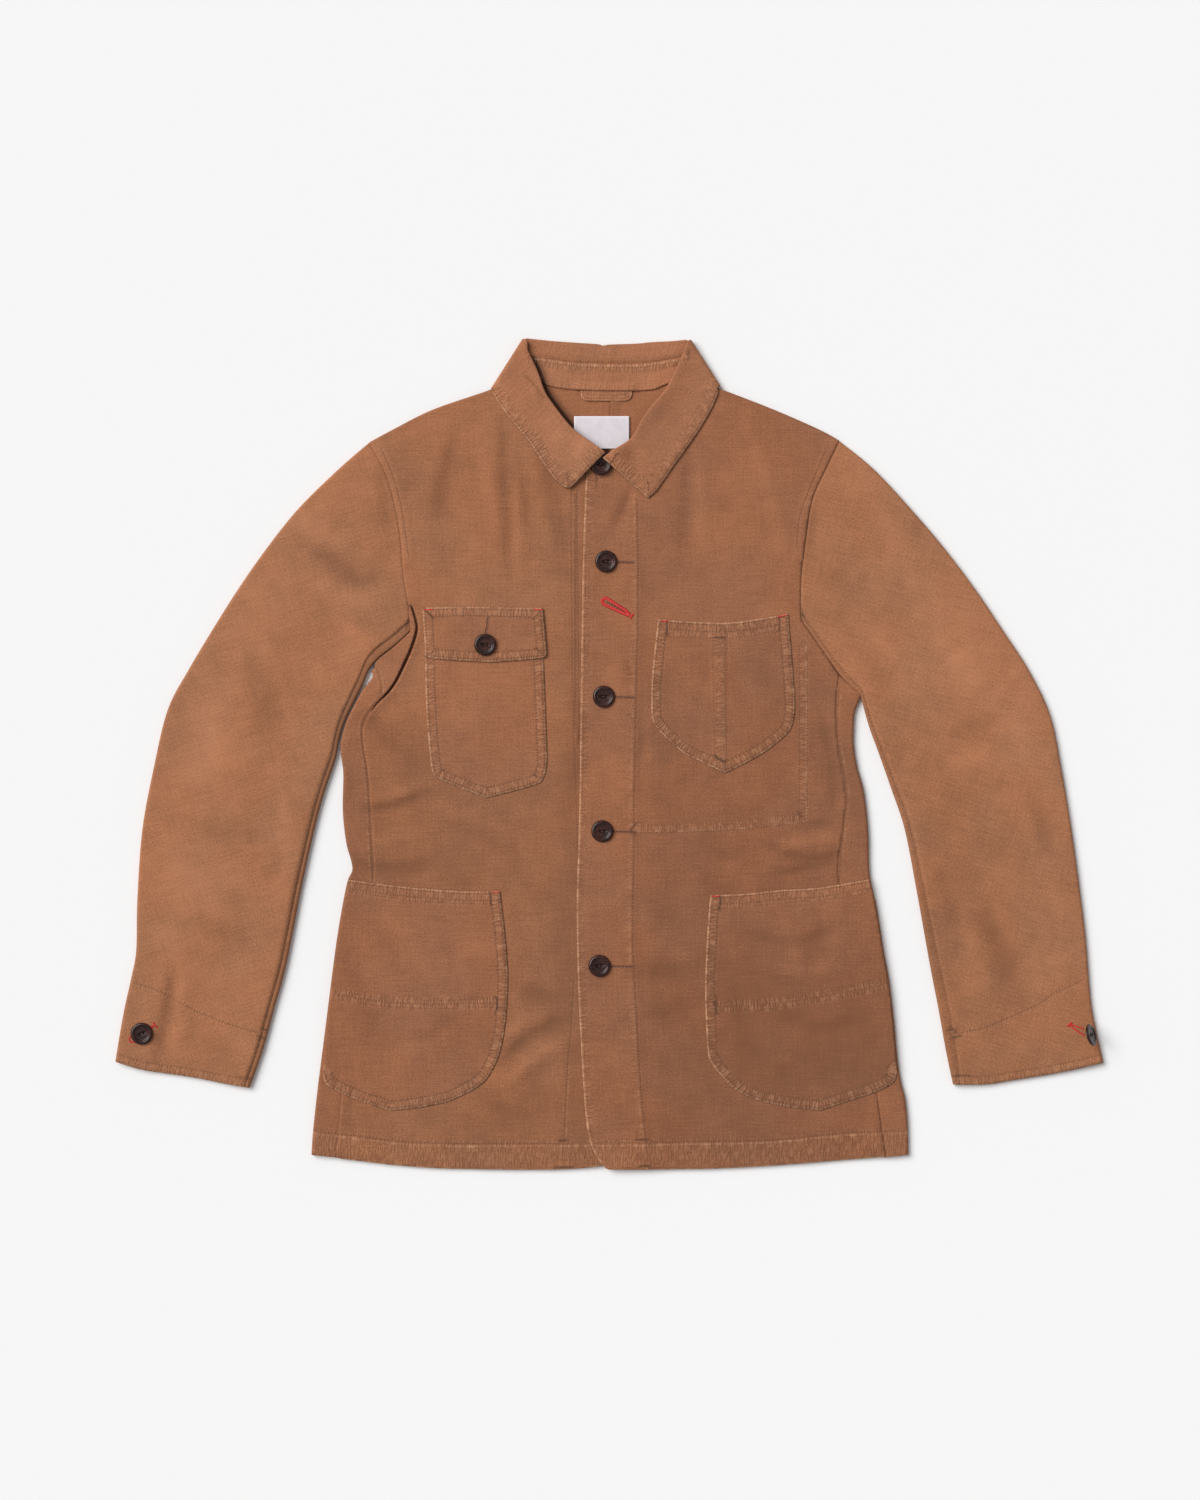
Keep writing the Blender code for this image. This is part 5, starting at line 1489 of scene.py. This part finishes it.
buttonLook = {
    "radius": 10.0, "height": 3.0, "around": 56,
    # radius and height of the turned profile, as shares
    "profile": ((0, 0), (0.5, 0), (0.78, 0.02), (0.93, 0.2), (1, 0.42), (0.985, 0.66), (0.93, 0.86),
                (0.87, 0.97), (0.8, 1), (0.74, 0.96), (0.69, 0.84), (0.65, 0.7), (0.6, 0.64), (0.52, 0.62),
                (0.44, 0.61), (0.36, 0.6), (0.29, 0.6), (0.22, 0.6), (0.15, 0.6), (0.08, 0.6), (0, 0.6)),
    "face": 0.62,                # share of the radius that is cut finer
    "eye": (5.0, 2.2, 1.0),      # half length, half width and depth of the groove
    "hole": (1.5, 0.85, 0.9),    # distance from the middle, radius and depth
    "bar": (1.7, 0.3, 0.28), "barShift": 0.35,
}
buttons = {
    # x and y of the middle, and degrees of tilt and turn
    "button_neck": (-8.5, 262.5, 0, 0),
    "button_front_1": (-4, 174.5, 0, 4),
    "button_front_2": (-6, 52, 0, -5),
    "button_front_3": (-7.5, -70, 0, 3),
    "button_front_4": (-10, -192, 0, 6),
    "button_flap": (-113.5, 99, 0, -3),
    "button_cuff_right": (-425, -253.5, 0, 20),
    "button_cuff_left": (433, -254.5, 60, 18),
}


def button(name):
    look = buttonLook
    bm = bmesh.new()
    line = [bm.verts.new((r * look["radius"], 0, h * look["height"])) for r, h in look["profile"]]
    edges = [bm.edges.new(pair) for pair in zip(line, line[1:])]
    bmesh.ops.spin(bm, geom=line + edges, cent=(0, 0, 0), axis=(0, 0, 1), angle=math.tau,
                   steps=look["around"], use_merge=True)
    bmesh.ops.remove_doubles(bm, verts=bm.verts, dist=0.01)
    bmesh.ops.recalc_face_normals(bm, faces=bm.faces)
    top = [face for face in bm.faces if face.normal.z > 0.5
           and face.calc_center_median().to_2d().length < look["face"] * look["radius"]]
    bmesh.ops.subdivide_edges(bm, edges=list({e for face in top for e in face.edges}), cuts=1,
                              use_grid_fill=True)
    length, width, depth = look["eye"]
    offset, radius, deep = look["hole"]
    for vert in bm.verts:
        if vert.co.z < 0.5 * look["height"] or vert.co.to_2d().length > 0.66 * look["radius"]:
            continue
        lens = 1 - (vert.co.x / length) ** 2 - abs(vert.co.y) / width
        sink = depth * min(1, max(0, lens * 1.6)) ** 0.7
        sink -= 0.12 * math.exp(-((lens + 0.12) / 0.1) ** 2)
        hole = min(math.hypot(vert.co.x - offset, vert.co.y), math.hypot(vert.co.x + offset, vert.co.y))
        sink += deep * min(1, max(0, 1.4 - hole / radius))
        vert.co.z -= sink
    matrix = placeOf(name)
    bmesh.ops.transform(bm, matrix=matrix, verts=bm.verts)
    piece = toObject(name + "_turned", bm, {}, paints["horn"])
    settle(piece, "horn", name)
    bars = bmesh.new()
    for shift in (-look["barShift"], look["barShift"]):
        across = Matrix.Translation((0, shift, 0.62 * look["height"] - depth + 0.35))
        bmesh.ops.create_icosphere(bars, subdivisions=2, radius=1,
                                   matrix=matrix @ across @ Matrix.Diagonal((*look["bar"], 1)))
    tied = toObject(name + "_thread", bars, {}, paints["brown"])
    settle(tied, "horn")


def placeOf(name):
    # on the solid that the button replaces, tilted or turned
    tilt, turn = buttons[name][2:]
    low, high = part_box(name)
    x, y, z = ((a + b) / 2 for a, b in zip(low, high))
    scale = Matrix.Scale(mm, 4)
    if tilt:
        turned = Euler((0, math.radians(tilt), math.radians(turn))).to_matrix().to_4x4()
        middle = turned @ Vector((0, 0, buttonLook["height"] / 2 * mm))
        return Matrix.Translation(Vector((x, y, z)) - middle) @ turned @ scale
    turned = Matrix.Rotation(math.radians(turn), 4, "Z")
    return Matrix.Translation((x, y, low[2])) @ turned @ scale


stitchLook = {
    "pitch": stitchPitch, "length": 1.75, "width": 0.55, "height": 0.5, "lift": 0.6,
    "steepest": 1.5,   # no stitch spans a higher step
}
stitched = []   # how many stitches each piece has


def seatOn(*pieces):
    trees = []
    for piece in pieces:
        bm = bmesh.new()
        bm.from_mesh(piece.data)
        trees.append((BVHTree.FromBMesh(bm), piece.modifiers["wall"].thickness / 2 - lay["wall"] / 2 * mm))
        bm.free()

    def height(places):
        found = []
        for x, y in places:
            start = Vector((x * mm, y * mm, 0.05))
            hits = [(tree.ray_cast(start, Vector((0, 0, -1)))[0], spare) for tree, spare in trees]
            heights = [(hit.z + spare) / mm for hit, spare in hits if hit is not None]
            found.append(max(heights, default=math.nan))
        return np.array(found)
    return height


def threads(name, parts, paint):
    bm = bmesh.new()
    for start, end, width, height in parts:
        away = Vector(end) - Vector(start)
        turned = away.to_track_quat("X", "Z").to_matrix().to_4x4()
        shape = Matrix.Diagonal((away.length / 2, width / 2, height / 2, 1))
        matrix = Matrix.Translation((Vector(start) + Vector(end)) / 2) @ turned @ shape
        bmesh.ops.create_icosphere(bm, subdivisions=1, radius=1, matrix=Matrix.Scale(mm, 4) @ matrix)
    settle(toObject(name, bm, {}, paint), "canvas")
    stitched.append(len(parts))


def stitches(name, lines, seat, paint=paints["rust"]):
    look, parts = stitchLook, []
    rng = np.random.default_rng(len(name))
    for line in lines:
        total = runs(line)[-1]
        count = max(2, round(total / look["pitch"]))
        middle = (np.arange(count) + 0.5) / count * total + rng.uniform(-0.15, 0.15, count)
        half = look["length"] / 2 * rng.uniform(0.85, 1.1, count)
        starts, ends = along(line, (middle - half) / total), along(line, (middle + half) / total)
        ends = ends + rng.uniform(-0.12, 0.12, ends.shape)
        for a, b, low, high in zip(starts, ends, seat(starts), seat(ends)):
            if abs(low - high) < look["steepest"]:
                parts.append(((*a, low + look["lift"]), (*b, high + look["lift"]), look["width"],
                              look["height"]))
    threads(name, parts, paint)


def satin(line, seat, width, pitch, thick, height, lift):
    # short stitches side by side across a line
    line = curve(line, 4)
    total = runs(line)[-1]
    shares = np.linspace(0, 1, max(2, int(total / pitch)))
    middle = along(line, shares)
    tangent = along(line, shares + 0.01) - along(line, shares - 0.01)
    across = np.stack([-tangent[:, 1], tangent[:, 0]], -1) / np.hypot(*tangent.T)[:, None] * width / 2
    slant = tangent / np.hypot(*tangent.T)[:, None] * 0.25
    heights = seat(middle)
    return [((*(m - a - t), h + lift), (*(m + a + t), h + lift), thick, height)
            for m, a, t, h in zip(middle, across, slant, heights) if h == h]


holeLook = {
    "gap": 1.7,                                          # between the middles of the two worked edges
    # width, pitch, thickness, height and lift of the stitches
    "edge": (1.2, 0.55, 0.6, 0.5, 0.6), "flapEdge": (1.1, 0.55, 0.6, 0.5, 0.6), "flapShift": 0.85,
    "bar": (1.4, 0.5, 0.6, 0.5, 0.62), "barReach": 1.6,
    "slitLift": 0.62, "slitHeight": 0.3,
}


# a dark thread strip laid where an opening would lie in shade: painted shade
def shadeSlit(start, end, seat, width=0.9):
    line = curve([start, end], 8)
    heights = seat(line) + holeLook["slitLift"]
    return [((*a, low), (*b, high), width, holeLook["slitHeight"])
            for a, b, low, high in zip(line, line[1:], heights, heights[1:]) if low == low and high == high]


def buttonhole(start, end, seat):
    # two worked edges with a bar at the far end
    look = holeLook
    away = np.array(end, float) - start
    side = np.array([-away[1], away[0]]) / np.hypot(*away) * look["gap"] / 2
    parts = []
    for sign in (1, -1):
        parts += satin([start + sign * side, end + sign * side], seat, *look["edge"])
    return parts + satin([end + side * look["barReach"], end - side * look["barReach"]], seat, *look["bar"])


def rowInside(line, outline, room):
    ring = closed(outline)
    best = None
    for sign in (1, -1):
        row = inset(line, sign * room)
        kept = row[insideOf(row, outline) & (nearest(row, ring)[0] > room - 0.2)]
        if best is None or len(kept) > len(best):
            best = kept
    return best


def trim(line, start, end):
    total = runs(line)[-1]
    return along(line, np.linspace(start / total, 1 - end / total, max(3, int(total / 4))))


backs = {side: backHalf(side) for side in sides}
print("backs made")
sleevesMade = {side: sleevePair(side) for side in sides}
print("sleeves made")
frontRight, frontSide, frontLeft = fronts()
print("fronts made")
pocketsMade = pockets()
print("pockets made")
leafMade, standMade = collar()
labelMade, loopMade = neckPieces()
print("collar made")
for name in buttons:
    button(name)
print("buttons made")


onRight, onLeft = seatOn(frontRight, frontSide), seatOn(frontLeft)
onPockets = {side: seatOn(pocketsMade[side]) for side in sides}
onShield, onChest, onFlap = [seatOn(pocketsMade[key]) for key in ("shield", "chest", "flap")]
onSleeves = {side: seatOn(*sleevesMade[side]) for side in sides}
onCollar, onBack = seatOn(leafMade), seatOn(loopMade, *backs.values())


def twoRows(line, outline):
    return [rowInside(line, outline, room) for room in pocketRows]


rowLook = {
    "topEdge": 2.0,      # from a pocket's open edge to its row
    "middleGap": 3.8,    # half the distance of the two rows across a lower pocket
    "mapGap": 3.6, "placketEdge": 2.7, "collarEdge": 2.0, "flap": (2.2, 8.0),
}


def stitchAll():
    look = rowLook
    for side, front in (("right", onRight), ("left", onLeft)):
        sewn, ring = lowerSewn[side], lowerOutlines[side]
        middle = curve(lowerMiddle[side], 3)
        lines = twoRows(sewn, ring) + [
            trim(curve(lowerTop[side], 3), 2, 2),
            rowInside(curve(lowerPocket[side]["top"]), ring, look["topEdge"]),
            trim(middle + [0, look["middleGap"]], 3, 3), trim(middle - [0, look["middleGap"]], 3, 3)]
        stitches("lowerPocketStitching_" + side, [trim(line, 1, 1) for line in lines], onPockets[side])
        stitches("hemStitching_" + side, [trim(curve(hemStitch[side], 3), 2, 1)], front)
        stitches("cuffStitching_" + side, [trim(curve(cuffStitch[side], 3), 2, 2)], onSleeves[side],
                 paints["seam"])
        stitches("armholeStitching_" + side, [trim(curve(felledArmhole[side], 3), 2, 1)], front)
        stitches("sideStitching_" + side, [trim(curve(sideStrip[side], 3) + [sides[side] * 0.8, 0], 26, 2)],
                 seatOn(backs[side], frontRight, frontSide, frontLeft))
    stitches("chestPocketStitching", twoRows(chestSewn, chestOutline), onChest)
    ring = closed(flapOutline)
    stitches("chestFlapStitching", [rowInside(ring, flapOutline, room) for room in look["flap"]], onFlap)
    stitches("shieldPocketStitching", twoRows(shieldSewn, shieldOutline) + [
        trim(curve(shieldTop, 3), 1, 1),
        rowInside(curve(shieldPocket["top"]), shieldOutline, look["topEdge"]),
        trim(curve(shieldFold, 3) + [2.2, 0], 2, 3), trim(curve(shieldRow, 3), 2, 3)], onShield)
    mapSide = curve(mapPocket["side"], 3)
    stitches("placketStitching", [
        curve(facingStitch, 3), trim(curve(placketEdge, 3) + [look["placketEdge"], 0], 12, 3),
        mapSide + [look["mapGap"], 0], mapSide - [look["mapGap"], 0],
        curve(mapPocket["bottom"], 3), curve(neckStitch, 3)], onLeft)
    stitches("facingStitching", [curve(line, 3) for line in underFacing], onRight)
    wings = {side: joined(curve(wingRoll[side])[::-1], curve(wingEdge[side])) for side in sides}
    rows = [rowInside(wingSewn[side], wings[side], look["collarEdge"]) for side in sides]
    stitches("collarStitching", rows, onCollar)
    stitches("backNeckStitching", [np.array([(x, 321), (x, 305)]) for x in (-6.5, 0.8)]
             + [curve(loopStitch, 3)], onBack)


redPitch = 0.42
flapHole = [(-113.2, 107), (-113, 112), (-111.6, 116), (-111.8, 120), (-110.8, 124.5)]
redMarks = (
    # what it is sewn on, its points, and width, thickness, height and lift of the stitches
    (onLeft, [(17.2, 125.4), (10.6, 127.9), (3.1, 131.4), (-4.5, 134.9), (-7.4, 137.4), (-7, 140),
              (-4.5, 141.3), (-0.6, 139.6), (6.8, 134.5), (13.6, 130.4),
              (17.2, 126.2)], 3.5, 0.7, 0.9, 0.8),
    (onLeft, [(17.9, 123), (20.8, 127.2)], 2.4, 0.7, 0.9, 0.9),
    (onFlap, [(-169.5, 130.6), (-161.5, 131)], 1.5, 0.6, 0.6, 0.65),
    (onFlap, [(-69.5, 131.2), (-61.5, 130.6)], 1.5, 0.6, 0.6, 0.65),
    (onShield, [(46, 120.6), (52.5, 120.4)], 1.5, 0.6, 0.6, 0.65),
    (onShield, [(152.2, 124.6), (160.4, 125.8)], 1.5, 0.6, 0.6, 0.65),
    (onPockets["right"], [(-107.7, -125.6), (-101.3, -125.6)], 1.5, 0.6, 0.6, 0.65),
    (onPockets["left"], [(92.3, -129), (98.7, -129)], 1.5, 0.6, 0.6, 0.65),
    (onSleeves["right"], [(-430, -256.6), (-434.6, -256.4), (-436.6, -258.6), (-435.2, -261.2),
                          (-430.6, -261.2)], 1.5, 0.6, 0.8, 0.8),
    (onSleeves["right"], [(-420, -249.8), (-413.4, -246)], 2.4, 0.6, 0.8, 0.8),
    (onSleeves["right"], [(-414.6, -243.4), (-411.4, -248.4)], 1.4, 0.6, 0.9, 0.9),
    (onSleeves["left"], [(416.5, -245.2), (422.6, -247), (428.8, -249.2)], 1.6, 0.6, 0.8, 0.8),
    (onSleeves["left"], [(417, -246.4), (423, -251), (429.6, -255)], 1.6, 0.6, 0.8, 0.8),
    (onSleeves["left"], [(414.6, -247), (418.6, -243.6)], 2.2, 0.6, 0.9, 0.9),
)


def details():
    # dark gathers the painted shade inside the open buttonholes
    worked, red, dark = [], [], []
    for name in [key for key in buttons if "front" in key]:
        x, y = buttons[name][:2]
        worked += buttonhole(np.array([x + 8.5, y - 0.3]), np.array([21.4, y - 0.8]), onLeft)
        dark += shadeSlit((x + 8, y - 0.3), (20.8, y - 0.8), onLeft)
    for shift in (-holeLook["flapShift"], holeLook["flapShift"]):
        worked += satin(np.array(flapHole) + [shift, 0], onFlap, *holeLook["flapEdge"])
    for a, b in zip(flapHole, flapHole[1:]):
        dark += shadeSlit(a, b, onFlap, 0.8)
    dark += shadeSlit((-3.8, 138), (14, 128.6), onLeft, 1.5)   # painted shade inside the red loop
    for seat, points, width, *size in redMarks:
        red += satin(points, seat, width, redPitch, *size)
    threads("buttonholes_worked", worked, paints["seam"])
    threads("buttonholes_red", red, paints["red"])
    threads("buttonholes_open_shade", dark, paints["brown"])


stitchAll()
details()
print("stitches", sum(stitched))

stageLook = {
    "floor": (0.907, 0.907, 0.907), "size": 40, "below": 0.0003, "roughness": 0.9, "specular": 0.1,
    "sun": 2.9, "softness": 42, "falls": (0.75, -0.45, -0.92), "sky": (0.985, 0.985, 0.99), "fill": 0.36,
}

bm = bmesh.new()
bmesh.ops.create_grid(bm, x_segments=4, y_segments=4, size=stageLook["size"])
bmesh.ops.translate(bm, vec=(0, 0, -stageLook["below"]), verts=bm.verts)
floorMaterial, floorNodes, floorShader = newMaterial("floor_paper", Roughness=stageLook["roughness"])
cloud = floorNodes.node("TexCoord", output=3).noise(0.6, 1.0)
shade = cloud.mix((*[0.995 * c for c in stageLook["floor"]], 1), (*stageLook["floor"], 1))
floorNodes.tree.links.new(shade.socket, floorShader.inputs["Base Color"])
floorShader.inputs["Specular IOR Level"].default_value = stageLook["specular"]
floor = toObject("floor", bm, {}, floorMaterial)

sunData = bpy.data.lights.new("key", "SUN")
sunData.energy = stageLook["sun"]
sunData.angle = math.radians(stageLook["softness"])
sun = bpy.data.objects.new("key", sunData)
sun.rotation_euler = Vector(stageLook["falls"]).to_track_quat("-Z", "Y").to_euler()
scene.collection.objects.link(sun)
world = bpy.data.worlds.new("studio")
scene.world = world
world.use_nodes = True
background = world.node_tree.nodes["Background"]
background.inputs["Color"].default_value = (*stageLook["sky"], 1)
background.inputs["Strength"].default_value = stageLook["fill"]
